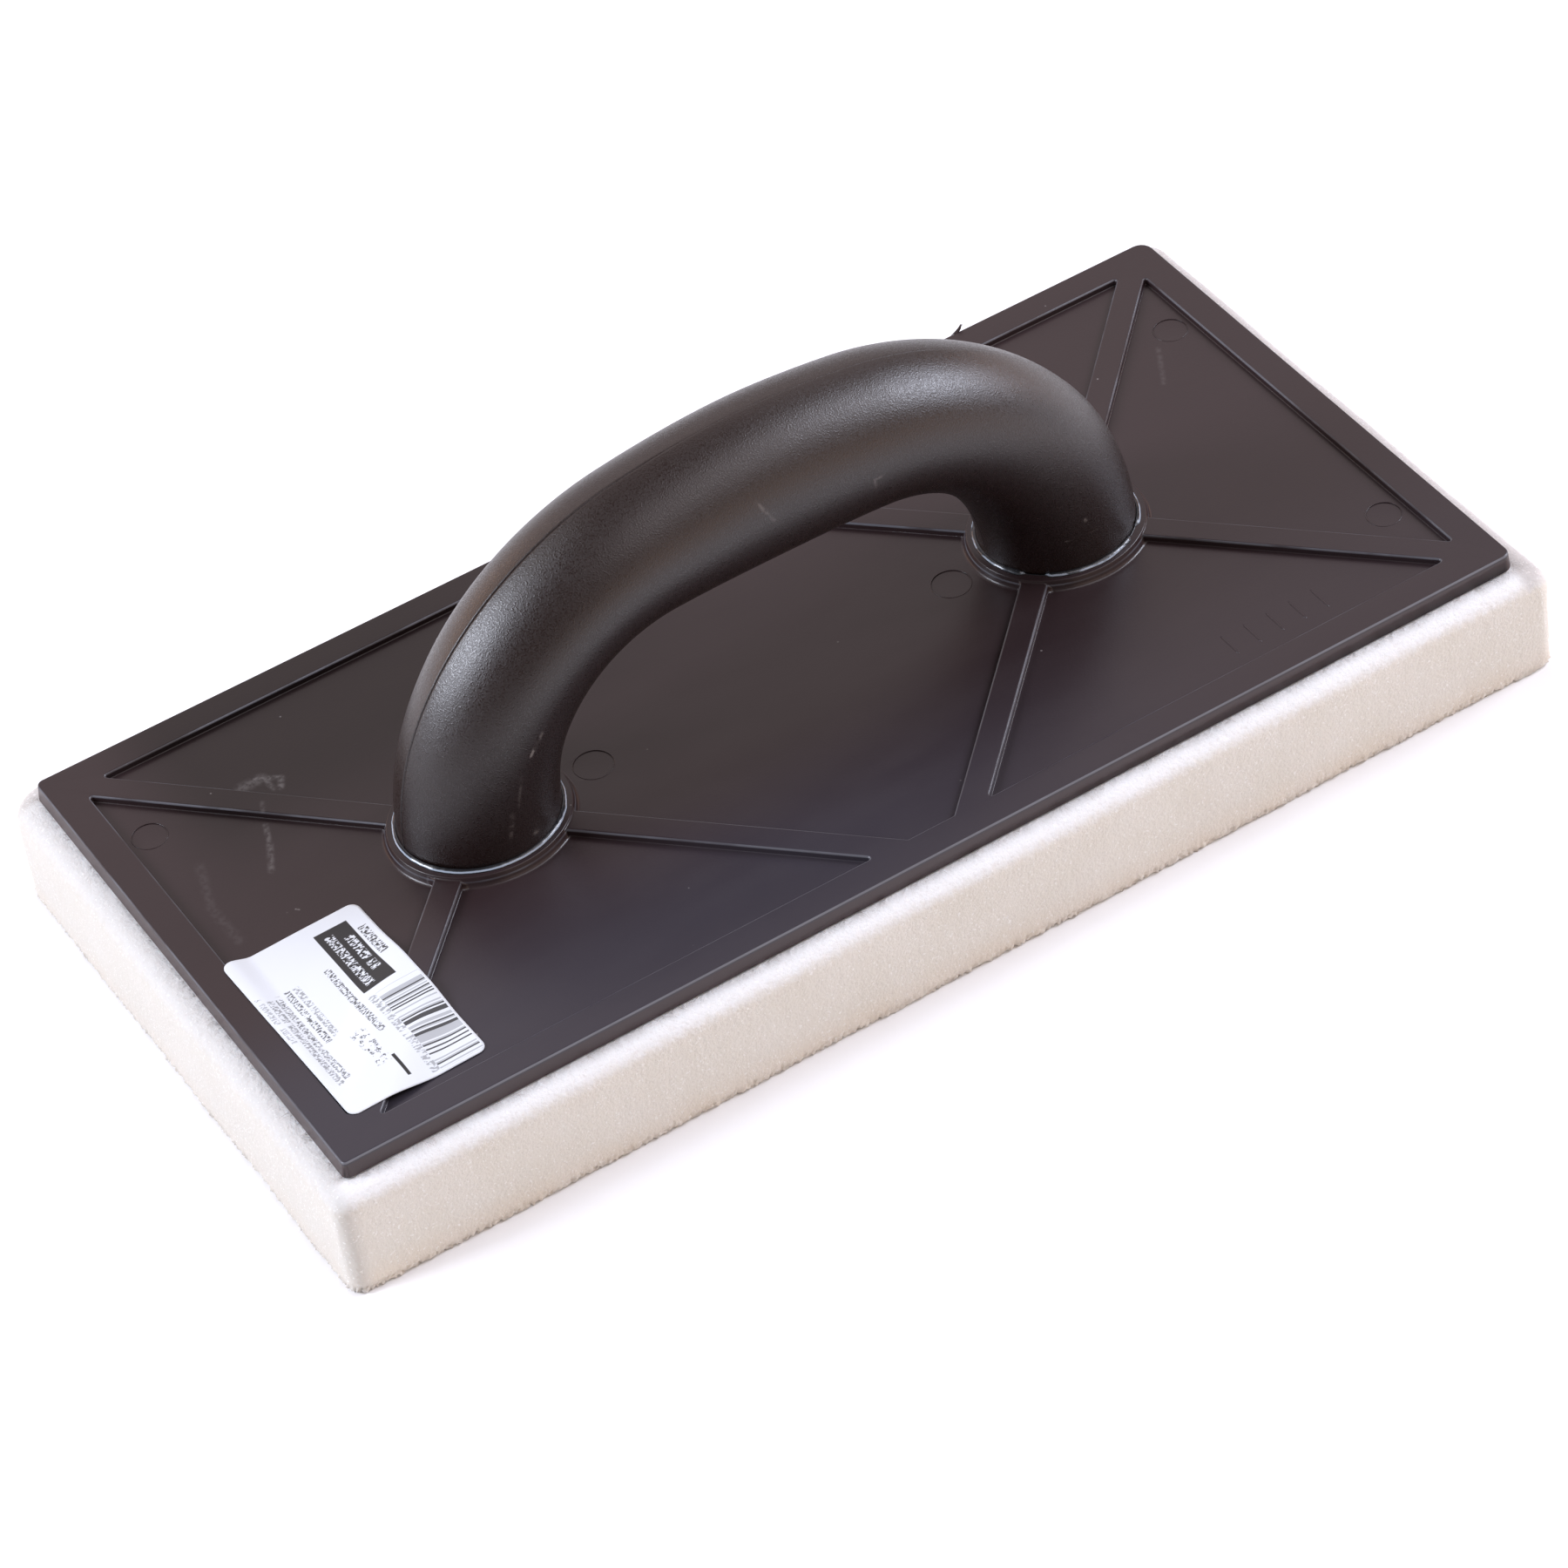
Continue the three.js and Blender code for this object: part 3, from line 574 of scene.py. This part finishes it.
def foam_pad():
    """Cut foam: flat only on its working face, with soft top edges and a torn edge round that face."""
    outline = pad_outline()
    half_x, half_y = PAD_HIGH.x, PAD_HIGH.y
    points = []
    for height, inset in pad_levels():
        scale_x = 1 - inset * MM / half_x
        scale_y = 1 - inset * MM / half_y
        torn = smoothstep(height, TORN_HEIGHT, TORN_FULLY)
        loose = smoothstep(inset, FLAT_INSET, LOOSE_INSET)
        for x, y in outline:
            p = Vector((x * scale_x, y * scale_y, height * MM))
            side = Vector((round_off(x / half_x), round_off(y / half_y), 0))
            slow = 0.35 * (wobble(p, 26 * MM, 1.0) - 0.6)
            fine = 0.07 * wobble(p, 1.6 * MM, 2.0)
            rag = 0.8 * torn * (wobble(p, 0.6 * MM, 5.0) - 0.2)
            push = (slow + fine + rag) * loose * MM
            lift = 0.0
            if height > PAD_MIDDLE:
                lift = 0.18 * (wobble(p, 9 * MM, 7.0) - 0.7) + 0.12 * (wobble(p, 1.5 * MM, 8.0) - 0.5)
            elif inset < LOOSE_INSET:
                lift = 0.7 * torn * max(0.0, wobble(p, 0.6 * MM, 9.0) + 0.1)
            points.append(p + side * push + Vector((0, 0, lift * MM)))
    points = np.array([tuple(p) for p in points])
    points[:, 0] = points[:, 0].clip(PAD_LOW.x, PAD_HIGH.x)
    points[:, 1] = points[:, 1].clip(PAD_LOW.y, PAD_HIGH.y)
    points[:, 2] = points[:, 2].clip(PAD_LOW.z, PAD_HIGH.z)
    faces = capped_faces(len(points) // PAD_OUTLINE_POINTS, PAD_OUTLINE_POINTS)
    return add_mesh("foam_body", points, faces)


FIBRE_COUNT = 900
FIBRE_SIDES = 3
FIBRE_STEPS = 4
FIBRE_GAP = 0.1 * MM
FIBRE_SEED = 7
FRONT_SHARE = 0.72
LEFT_SHARE = 0.18
SPREAD = 0.5


def fibre_root(draw):
    """A random foot beside the plate, mostly in front of it, and the way out from the plate."""
    edge_x, edge_y = PLATE_HIGH.x, PLATE_HIGH.y
    side = draw.random()
    if side < FRONT_SHARE:
        foot = Vector((draw.uniform(-edge_x, edge_x), -edge_y - FIBRE_GAP, 0))
        out = Vector((draw.normal(0, SPREAD), -1, 0))
    elif side < FRONT_SHARE + LEFT_SHARE:
        foot = Vector((-edge_x - FIBRE_GAP, draw.uniform(-edge_y, edge_y), 0))
        out = Vector((-1, draw.normal(0, SPREAD), 0))
    else:
        foot = Vector((edge_x + FIBRE_GAP, draw.uniform(-edge_y, edge_y), 0))
        out = Vector((1, draw.normal(0, SPREAD), 0))
    foot.z = PLATE_LOW.z - draw.uniform(0.35, 0.6) * MM
    return foot, out.normalized()


def fibre_points(draw):
    """One thread's rings of points: it arches up from its foot, bends sideways and gets thinner."""
    foot, out = fibre_root(draw)
    length = draw.uniform(0.8, 2.8) * MM
    width = draw.uniform(0.03, 0.055) * MM
    rise = draw.uniform(0.15, 0.5)
    bend = draw.normal(0, 0.35)
    across = Vector((-out.y, out.x, 0))
    points = []
    for k in range(FIBRE_STEPS):
        t = k / (FIBRE_STEPS - 1)
        centre = foot + out * length * t + across * bend * length * t * t
        centre.z += length * rise * math.sin(math.pi * (0.1 + 0.8 * t))
        radius = width * (1 - 0.6 * t)
        for j in range(FIBRE_SIDES):
            angle = 2 * math.pi * j / FIBRE_SIDES
            points.append(centre + radius * (across * math.cos(angle) + Vector((0, 0, math.sin(angle)))))
    return points


def foam_fibres():
    """Short loose threads that stick out of the foam beside the plate."""
    draw = np.random.default_rng(FIBRE_SEED)
    strand = capped_faces(FIBRE_STEPS, FIBRE_SIDES)
    points, faces = [], []
    for _ in range(FIBRE_COUNT):
        first = len(points)
        points += fibre_points(draw)
        faces += [tuple(first + i for i in face) for face in strand]
    return add_mesh("foam_fibres", points, faces)


# ---------------------------------------------------------------- handle

LEG_START = math.radians(2.5)
CORNER_RADIUS = 48.9 * MM
CROWN_RADIUS = 220 * MM
TUBE_HALF_WIDTH = 15.8 * MM
TUBE_DEPTH_MEAN = 32.2 * MM
TUBE_DEPTH_SWELL = 1.7 * MM
TUBE_WALL = 2.5 * MM
CREASE = 0.8 * MM
CREASE_LEFT = 3.0 * MM
SEAM_DEPTH = 0.32 * MM
SEAM_HALF_WIDTH = 0.2 * MM
CORNER_STEPS = 64
CROWN_STEPS = 22
SECTION_STEPS = 60
SEAM_CROWDING = 0.9
SHELL_WAVE = 0.06 * MM


def half_depth(share):
    """Half the tube's depth in the plane of the arch, where share goes from -1 to 1 along the handle."""
    return (TUBE_DEPTH_MEAN + TUBE_DEPTH_SWELL * math.cos(2 * math.pi * share)) / 2


def handle_stations():
    """(x, z, angle, share) along the middle line, from the right foot over the crown to the left."""
    corner_x = FOOT_X - CORNER_RADIUS
    blend = math.acos(corner_x / (CROWN_RADIUS - CORNER_RADIUS))
    crown_z = PLATE_TOP - (CROWN_RADIUS - CORNER_RADIUS) * math.sin(blend)
    half = []
    for k in range(CORNER_STEPS):
        angle = LEG_START + (blend - LEG_START) * k / CORNER_STEPS
        half.append((
            corner_x + CORNER_RADIUS * math.cos(angle),
            PLATE_TOP + CORNER_RADIUS * math.sin(angle),
            angle,
        ))
    for k in range(CROWN_STEPS + 1):
        angle = blend + (math.pi / 2 - blend) * k / CROWN_STEPS
        half.append((CROWN_RADIUS * math.cos(angle), crown_z + CROWN_RADIUS * math.sin(angle), angle))
    line = half + [(-x, z, math.pi - angle) for x, z, angle in reversed(half[:-1])]
    steps = [math.dist(a[:2], b[:2]) for a, b in zip(line, line[1:])]
    total = sum(steps)
    share = -1.0
    stations = []
    for (x, z, angle), step in zip(line, steps + [0.0]):
        stations.append((x, z, angle, share))
        share += 2 * step / total
    return stations


def seam_crease(share):
    """How far across the seam each side's bulge is centred: the left leg is creased most."""
    return CREASE + (CREASE_LEFT - CREASE) * smoothstep(share, -0.1, 0.4) * smoothstep(share, 1.0, 0.72)


def side_arc(depth, half_width, crease):
    """One side of the oval section as (out, side) pairs from its outer seam to its inner seam.
    Points crowd towards both seams."""
    reach = half_width + crease
    start = math.asin(crease / reach)
    arc = []
    for k in range(SECTION_STEPS + 1):
        t = k / SECTION_STEPS
        t -= SEAM_CROWDING * math.sin(2 * math.pi * t) / (2 * math.pi)
        angle = start + (math.pi - 2 * start) * t
        out = depth * math.cos(angle) / math.cos(start)
        arc.append((out, max(0.0, reach * math.sin(angle) - crease)))
    return arc


def seam_depth(share):
    """The outer seam is open on the left leg and closes towards the crown."""
    return SEAM_DEPTH * (0.12 + 0.88 * smoothstep(share, 0.05, 0.4))


def shell_ring(share):
    """(out, side) pairs round one shell: the grooved outer wall, then back along the inner wall."""
    depth, crease = half_depth(share), seam_crease(share)
    outer = []
    for out, side in side_arc(depth, TUBE_HALF_WIDTH, crease):
        groove = math.exp(-((side / SEAM_HALF_WIDTH) ** 2))
        sunk = seam_depth(share) if out > 0 else SEAM_DEPTH / 3
        outer.append((out - math.copysign(sunk * groove, out), side))
    inner = side_arc(depth - TUBE_WALL, TUBE_HALF_WIDTH - TUBE_WALL, crease)
    return outer + inner[::-1]


def handle_shell(name, sign):
    """Half of the handle's tube, on the side of the seam that sign gives."""
    stations = handle_stations()
    rings = [[(FOOT_X + out, sign * side, SEAT) for out, side in shell_ring(-1.0)]]
    for x, z, angle, share in stations:
        ring = []
        for out, side in shell_ring(share):
            away = Vector((out * math.cos(angle), sign * side, out * math.sin(angle)))
            place = Vector((x, 0, z)) + away
            swell = 1 + SHELL_WAVE * wobble(place, 17 * MM, 3.0) / away.length
            ring.append((x + away.x * swell, away.y * swell, z + away.z * swell))
        rings.append(ring)
    rings.append([(-FOOT_X - out, sign * side, SEAT) for out, side in shell_ring(1.0)])
    ring_size = len(rings[0])
    points = [point for ring in rings for point in ring]
    faces = ring_faces(len(rings), ring_size, closed=False)
    last = len(points) - ring_size
    for i in range(SECTION_STEPS):
        far = ring_size - 1 - i
        faces.append((i + 1, i, far, far - 1))
        faces.append((last + i, last + i + 1, last + far - 1, last + far))
    return add_mesh(name, points, faces if sign < 0 else [face[::-1] for face in faces])


# ---------------------------------------------------------------- cement beads

BEAD_STEPS = 360
BEAD_PROFILE_STEPS = 10
BEAD_WIDTH = 0.95 * MM
BEAD_HEIGHT = 0.8 * MM
BEAD_TUCK = 0.12 * MM

# Where the bead round the right foot is missing: middle and half width in degrees about the foot
BEAD_GAPS = ((-52.0, 7.0), (-137.0, 9.0))


def bead_scale(angle, centre_x, gaps):
    """How full the bead is, from 0 to 1, at an angle about the foot."""
    place = Vector((centre_x + 17 * MM * math.cos(angle), 16 * MM * math.sin(angle), 0))
    full = 0.84 + 0.16 * wobble(place, 4 * MM, 4.0) + 0.07 * wobble(place, 1.2 * MM, 6.0)
    for middle, half in gaps:
        away = abs((math.degrees(angle) - middle + 180) % 360 - 180)
        full *= 0.12 + 0.88 * smoothstep(away, half * 0.6, half * 1.4)
    return min(1.0, full)


def cement_bead(name, centre_x, gaps=()):
    """An uneven fillet of cement between the foot's outline and the boss."""
    points = []
    for k in range(BEAD_STEPS):
        angle = 2 * math.pi * k / BEAD_STEPS
        full = bead_scale(angle, centre_x, gaps)
        profile = [(-BEAD_TUCK, 0.0)]
        for j in range(BEAD_PROFILE_STEPS + 1):
            turn = math.pi / 2 * j / BEAD_PROFILE_STEPS
            out = BEAD_WIDTH * full * math.cos(turn) ** 1.25
            profile.append((out, BEAD_HEIGHT * full * math.sin(turn) ** 1.25))
        profile.append((-BEAD_TUCK, BEAD_HEIGHT * full))
        for out, up in profile:
            x = (half_depth(1) + out) * math.cos(angle)
            y = (TUBE_HALF_WIDTH + out) * math.sin(angle)
            points.append((centre_x + x, y, SEAT + up))
    ring_size = BEAD_PROFILE_STEPS + 3
    faces = ring_faces(BEAD_STEPS, ring_size, closed=True)
    return add_mesh(name, points, [face[::-1] for face in faces])


# ---------------------------------------------------------------- label

# Sizes and places in mm: the paper, the rim's inner edge, and the rib that the paper crosses, which
# runs from the foot of the handle along RIB_RUN
LABEL_WIDTH = 30.0
LABEL_LENGTH = 50.6
LABEL_TURN = math.radians(1.5)
LABEL_CORNER = 2.0
LABEL_PITCH = 0.5
LABEL_THICKNESS = 0.13
LABEL_GAP = 0.07
RIM_INNER_X = -128.0
RIB_ROOT_X = -71.0
RIB_RUN = (-56.2, -58.0)
RIB_HALF_WIDTH = 2.9


def drape(x, y):
    """Height of the paper's underside above the panel floor, in mm, at a place in mm."""
    length = math.hypot(*RIB_RUN)
    from_rib = abs((x - RIB_ROOT_X) * RIB_RUN[1] - y * RIB_RUN[0]) / length - RIB_HALF_WIDTH
    from_rim = x - RIM_INNER_X
    sunk_by_rib = smoothstep(from_rib, 0.2, 8.5)
    sunk_by_rim = smoothstep(from_rim, 0.2, 5.5)
    level = PANEL_DEPTH / MM * (1 - sunk_by_rib * sunk_by_rim)
    ruck = 0.07 * (1 + wobble((x, y, 0), 9.0, 2.0)) * sunk_by_rib
    return level + ruck


def rounded(u, v):
    """Moves a point of the label's rectangle into its rounded corner, in mm."""
    inner_x = LABEL_WIDTH / 2 - LABEL_CORNER
    inner_y = LABEL_LENGTH / 2 - LABEL_CORNER
    over_x, over_y = abs(u) - inner_x, abs(v) - inner_y
    if over_x <= 0 or over_y <= 0:
        return u, v
    shrink = max(over_x, over_y) / math.hypot(over_x, over_y)
    u = math.copysign(inner_x + over_x * shrink, u)
    v = math.copysign(inner_y + over_y * shrink, v)
    return u, v


def paper_label():
    """The label lies over the end panel, a rib and the rim, and bridges the steps between them."""
    columns = round(LABEL_WIDTH / LABEL_PITCH)
    rows = round(LABEL_LENGTH / LABEL_PITCH)
    centre_x = (LABEL_LOW.x + LABEL_HIGH.x) / 2 / MM
    centre_y = (LABEL_LOW.y + LABEL_HIGH.y) / 2 / MM
    cos, sin = math.cos(LABEL_TURN), math.sin(LABEL_TURN)
    flat, below, above = [], [], []
    for row in range(rows + 1):
        for column in range(columns + 1):
            u, v = rounded(
                LABEL_WIDTH * (column / columns - 0.5), LABEL_LENGTH * (row / rows - 0.5)
            )
            x = centre_x + u * cos - v * sin
            y = centre_y + u * sin + v * cos
            z = PANEL_FLOOR / MM + LABEL_GAP + drape(x, y)
            flat.append((u, v))
            below.append((x * MM, y * MM, z * MM))
            above.append((x * MM, y * MM, (z + LABEL_THICKNESS) * MM))
    count = len(flat)
    wide = columns + 1
    faces = []
    for row in range(rows):
        for column in range(columns):
            a = row * wide + column
            quad = (a, a + 1, a + 1 + wide, a + wide)
            faces.append(tuple(i + count for i in quad))
            faces.append(quad[::-1])
    rim = list(range(wide))
    rim += [row * wide + columns for row in range(1, rows + 1)]
    rim += [rows * wide + column for column in range(columns - 1, -1, -1)]
    rim += [row * wide for row in range(rows - 1, 0, -1)]
    for a, b in zip(rim, rim[1:] + rim[:1]):
        faces.append((a, b, b + count, a + count))
    piece = add_mesh("paper_label", below + above, faces)
    layer = piece.data.uv_layers.new(name="flat")
    for loop in piece.data.loops:
        layer.data[loop.index].uv = flat[loop.vertex_index % count]
    return piece


# ---------------------------------------------------------------- plate details


def tube(name, path, radii, sides=10):
    """A closed tube along a path with a radius for each point."""
    points = []
    for index, (centre, radius) in enumerate(zip(path, radii)):
        ahead = Vector(path[min(index + 1, len(path) - 1)]) - Vector(path[max(index - 1, 0)])
        turn = ahead.to_track_quat("Z", "X")
        for k in range(sides):
            angle = 2 * math.pi * k / sides
            points.append(Vector(centre) + turn @ Vector((math.cos(angle), math.sin(angle), 0)) * radius)
    return add_mesh(name, points, capped_faces(len(path), sides))


# (x, y, radius) of each ejector pin's mark, in mm
PIN_PLACES = (
    (-42.5, 0.0, 4.2), (42.5, 0.0, 4.2), (-123.0, 38.0, 3.7), (123.0, 38.0, 3.7), (123.0, -38.0, 3.7),
)
PIN_RIDGE_WIDTH = 0.22
PIN_RIDGE_HEIGHT = 0.07
PIN_STEPS = 96
PIN_SIDES = 8


def pin_ring(name, x, y, pin_radius):
    """The thin ridge that an ejector pin leaves round its mark."""
    points = []
    for k in range(PIN_STEPS):
        angle = 2 * math.pi * k / PIN_STEPS
        swell = 1 + 0.35 * wobble((math.cos(angle), math.sin(angle), x), 0.7, 1.0)
        for j in range(PIN_SIDES):
            turn = 2 * math.pi * j / PIN_SIDES
            radius = pin_radius + PIN_RIDGE_WIDTH / 2 * math.cos(turn)
            z = PANEL_FLOOR / MM + PIN_RIDGE_HEIGHT * swell * math.sin(turn)
            points.append((
                (x + radius * math.cos(angle)) * MM, (y + radius * math.sin(angle)) * MM, z * MM
            ))
    faces = ring_faces(PIN_STEPS, PIN_SIDES, closed=True)
    return add_mesh(name, points, [face[::-1] for face in faces])


# A row of plain bars moulded on the panel floor near the right end, in mm
MARK_X = 76.0
MARK_Y = -50.5
MARK_COUNT = 5
MARK_PITCH = 5.5
MARK_LENGTH = 6.5
MARK_WIDTH = 0.45
MARK_HEIGHT = 0.07
MARK_STEPS = 8
MARK_TIP = 0.35


def mould_mark(name, x):
    """A plain low bar standing on the panel floor."""
    path = []
    for k in range(MARK_STEPS + 1):
        y = MARK_Y + MARK_LENGTH * (k / MARK_STEPS - 0.5)
        path.append(Vector((x, y, PANEL_FLOOR / MM)) * MM)
    radius = MARK_WIDTH / 2 * MM
    radii = [radius * MARK_TIP] + [radius] * (MARK_STEPS - 1) + [radius * MARK_TIP]
    piece = tube(name, path, radii)
    for vertex in piece.data.vertices:
        vertex.co.z = PANEL_FLOOR + (vertex.co.z - PANEL_FLOOR) * MARK_HEIGHT * 2 / MARK_WIDTH
    return piece


# (place, radius) along the curl of flash, in mm from its foot on the plate's back edge
BURR_X = 87.0
BURR_SINK = 0.5
BURR_PATH = (
    ((-1.6, -0.25, 0.0), 0.5),
    ((-0.5, 0.0, 0.35), 0.45),
    ((0.4, 0.1, 1.0), 0.32),
    ((0.9, 0.15, 1.7), 0.2),
    ((1.3, 0.1, 1.5), 0.06),
)


def flash_burr():
    """A thin curl of moulding flash on the plate's back edge."""
    foot = Vector((BURR_X * MM, PLATE_HIGH.y - PLATE_DRAFT, PLATE_TOP - BURR_SINK * MM))
    path = [foot + Vector(step) * MM for step, _ in BURR_PATH]
    return tube("flash_burr", path, [radius * MM for _, radius in BURR_PATH], 8)


# ---------------------------------------------------------------- stage, light and camera


FLOOR_HALF = 4.0
LIGHT_DISTANCE = 2.0
SKY_COLOUR = (1.0, 0.955, 0.93, 1.0)
SKY_STRENGTH = 0.17


def studio_floor():
    """A plain pale floor, wide enough for every view."""
    half = FLOOR_HALF
    points = [(-half, -half, 0), (half, -half, 0), (half, half, 0), (-half, half, 0)]
    floor = add_mesh("studio_floor", points, [(0, 1, 2, 3)], smooth=False)
    finish = Finish("studio_floor", Roughness=0.9, Specular_IOR_Level=0.1)
    shade = finish.noise(0.5, 2.0)
    finish.set("Base Color", finish.colour(shade, (0.93, 0.93, 0.93), (0.94, 0.94, 0.94)))
    floor.data.materials.append(finish.material)


def from_sky(azimuth, elevation):
    """Unit vector to a place round the stage: azimuth 0 is in front of the float and 90 to its right."""
    turn, rise = math.radians(azimuth), math.radians(elevation)
    return Vector((math.sin(turn) * math.cos(rise), -math.cos(turn) * math.cos(rise), math.sin(rise)))


def soft_light(name, azimuth, elevation, width, height, radiance, colour):
    """A rectangular softbox that faces the middle of the float, with its size in metres."""
    data = bpy.data.lights.new(name, "AREA")
    data.shape = "RECTANGLE"
    data.size = width
    data.size_y = height
    data.energy = radiance * math.pi * width * height
    data.color = colour
    light = bpy.data.objects.new(name, data)
    bpy.context.scene.collection.objects.link(light)
    away = from_sky(azimuth, elevation)
    light.location = Vector((0, 0, PLATE_TOP)) + away * LIGHT_DISTANCE
    light.rotation_euler = away.to_track_quat("Z", "Y").to_euler()


def studio_light():
    """A cool softbox on each side, broad dim ones in front and behind, and warm fill low down."""
    world = bpy.data.worlds.new("studio")
    world.use_nodes = True
    background = world.node_tree.nodes["Background"]
    background.inputs["Color"].default_value = SKY_COLOUR
    background.inputs["Strength"].default_value = SKY_STRENGTH
    bpy.context.scene.world = world
    soft_light("left_softbox", 254, 30, 0.76, 0.82, 21.5, (0.84, 0.88, 1.0))
    soft_light("left_top_softbox", 238, 54, 0.8, 0.5, 2.4, (1.0, 0.97, 0.97))
    soft_light("front_softbox", 42, 57, 2.2, 1.1, 1.8, (1.0, 0.93, 0.97))
    soft_light("right_lamp", 82, 35, 0.95, 0.85, 13.0, (0.82, 0.86, 1.0))
    soft_light("back_softbox", 166, 34, 2.6, 2.0, 0.68, (1.0, 0.87, 0.88))
    soft_light("warm_front", 25, 9, 2.6, 1.0, 1.05, (1.0, 0.72, 0.58))
    soft_light("warm_back", 208, 8, 1.5, 0.5, 1.7, (1.0, 0.60, 0.38))
    soft_light("warm_right", 104, 10, 1.5, 0.4, 1.5, (1.0, 0.60, 0.42))
    bpy.context.scene.view_settings.view_transform = "Standard"


CAMERA_AZIMUTH = math.radians(-25.98)
CAMERA_ELEVATION = math.radians(43.40)
CAMERA_ROLL = math.radians(-8.67)
CAMERA_DISTANCE = 1105.6 * MM
CAMERA_LENS = 129.5
CAMERA_AIM = Vector((-16.2 * MM, -29.9 * MM, PLATE_TOP))


def photo_camera():
    """A long lens from the front left, looking down, with the camera rolled a little."""
    flat = math.cos(CAMERA_ELEVATION)
    back = Vector((
        math.sin(CAMERA_AZIMUTH) * flat, -math.cos(CAMERA_AZIMUTH) * flat, math.sin(CAMERA_ELEVATION)
    ))
    level = (-back).cross(Vector((0, 0, 1))).normalized()
    upright = level.cross(-back)
    right = math.cos(CAMERA_ROLL) * level + math.sin(CAMERA_ROLL) * upright
    up = math.cos(CAMERA_ROLL) * upright - math.sin(CAMERA_ROLL) * level
    data = bpy.data.cameras.new("camera")
    data.lens = CAMERA_LENS
    data.sensor_width = 36.0
    data.clip_end = 20.0
    camera = bpy.data.objects.new("camera", data)
    bpy.context.scene.collection.objects.link(camera)
    camera.matrix_world = Matrix.Translation(CAMERA_AIM + back * CAMERA_DISTANCE) @ Matrix(
        (right, up, back)
    ).transposed().to_4x4()
    bpy.context.scene.camera = camera


# ---------------------------------------------------------------- assembly


def dress(piece, material, slot, *replaced):
    """Gives a new piece its finish and its place on the part; the slot argument is not used."""
    piece.data.materials.clear()
    piece.data.materials.append(material)
    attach(piece, BODY)
    if replaced:
        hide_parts(*replaced)
    return piece


def refine(node, material):
    """Keeps a CAD node's mesh, shaded smoothly over its roundings, with a better finish."""
    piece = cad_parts[node]
    piece.data.materials.clear()
    piece.data.materials.append(material)
    weld = piece.modifiers.new("weld", "WELD")
    weld.merge_threshold = 0.002 * MM
    piece.data.polygons.foreach_set("use_smooth", [True] * len(piece.data.polygons))
    normals = piece.modifiers.new("normals", "WEIGHTED_NORMAL")
    normals.keep_sharp = True


def build():
    """Every piece of the float, each with its finish."""
    plate = plate_finish()
    handle = handle_finish()
    cement = cement_finish()
    foam = dress(foam_pad(), foam_finish(), "foam_rubber", "foam_pad")
    dress(foam_fibres(), fibre_finish(), "foam_rubber")
    refine("adhesive_film", adhesive_finish())
    refine("base_plate", plate)
    dress(handle_shell("grip_shell_front", -1), handle, "handle_plastic", "handle_shell_front")
    dress(handle_shell("grip_shell_back", 1), handle, "handle_plastic", "handle_shell_back")
    dress(cement_bead("cement_left", -FOOT_X), cement, "cement", "cement_bead_left")
    dress(cement_bead("cement_right", FOOT_X, BEAD_GAPS), cement, "cement", "cement_bead_right")
    dress(paper_label(), label_finish(), "label_paper", "label")
    for index, place in enumerate(PIN_PLACES):
        dress(pin_ring(f"pin_ring_{index + 1}", *place), plate, "plate_plastic")
    for index in range(MARK_COUNT):
        dress(mould_mark(f"mould_mark_{index + 1}", MARK_X + index * MARK_PITCH), plate, "plate_plastic")
    dress(flash_burr(), plate, "plate_plastic")


build()
studio_floor()
studio_light()
photo_camera()
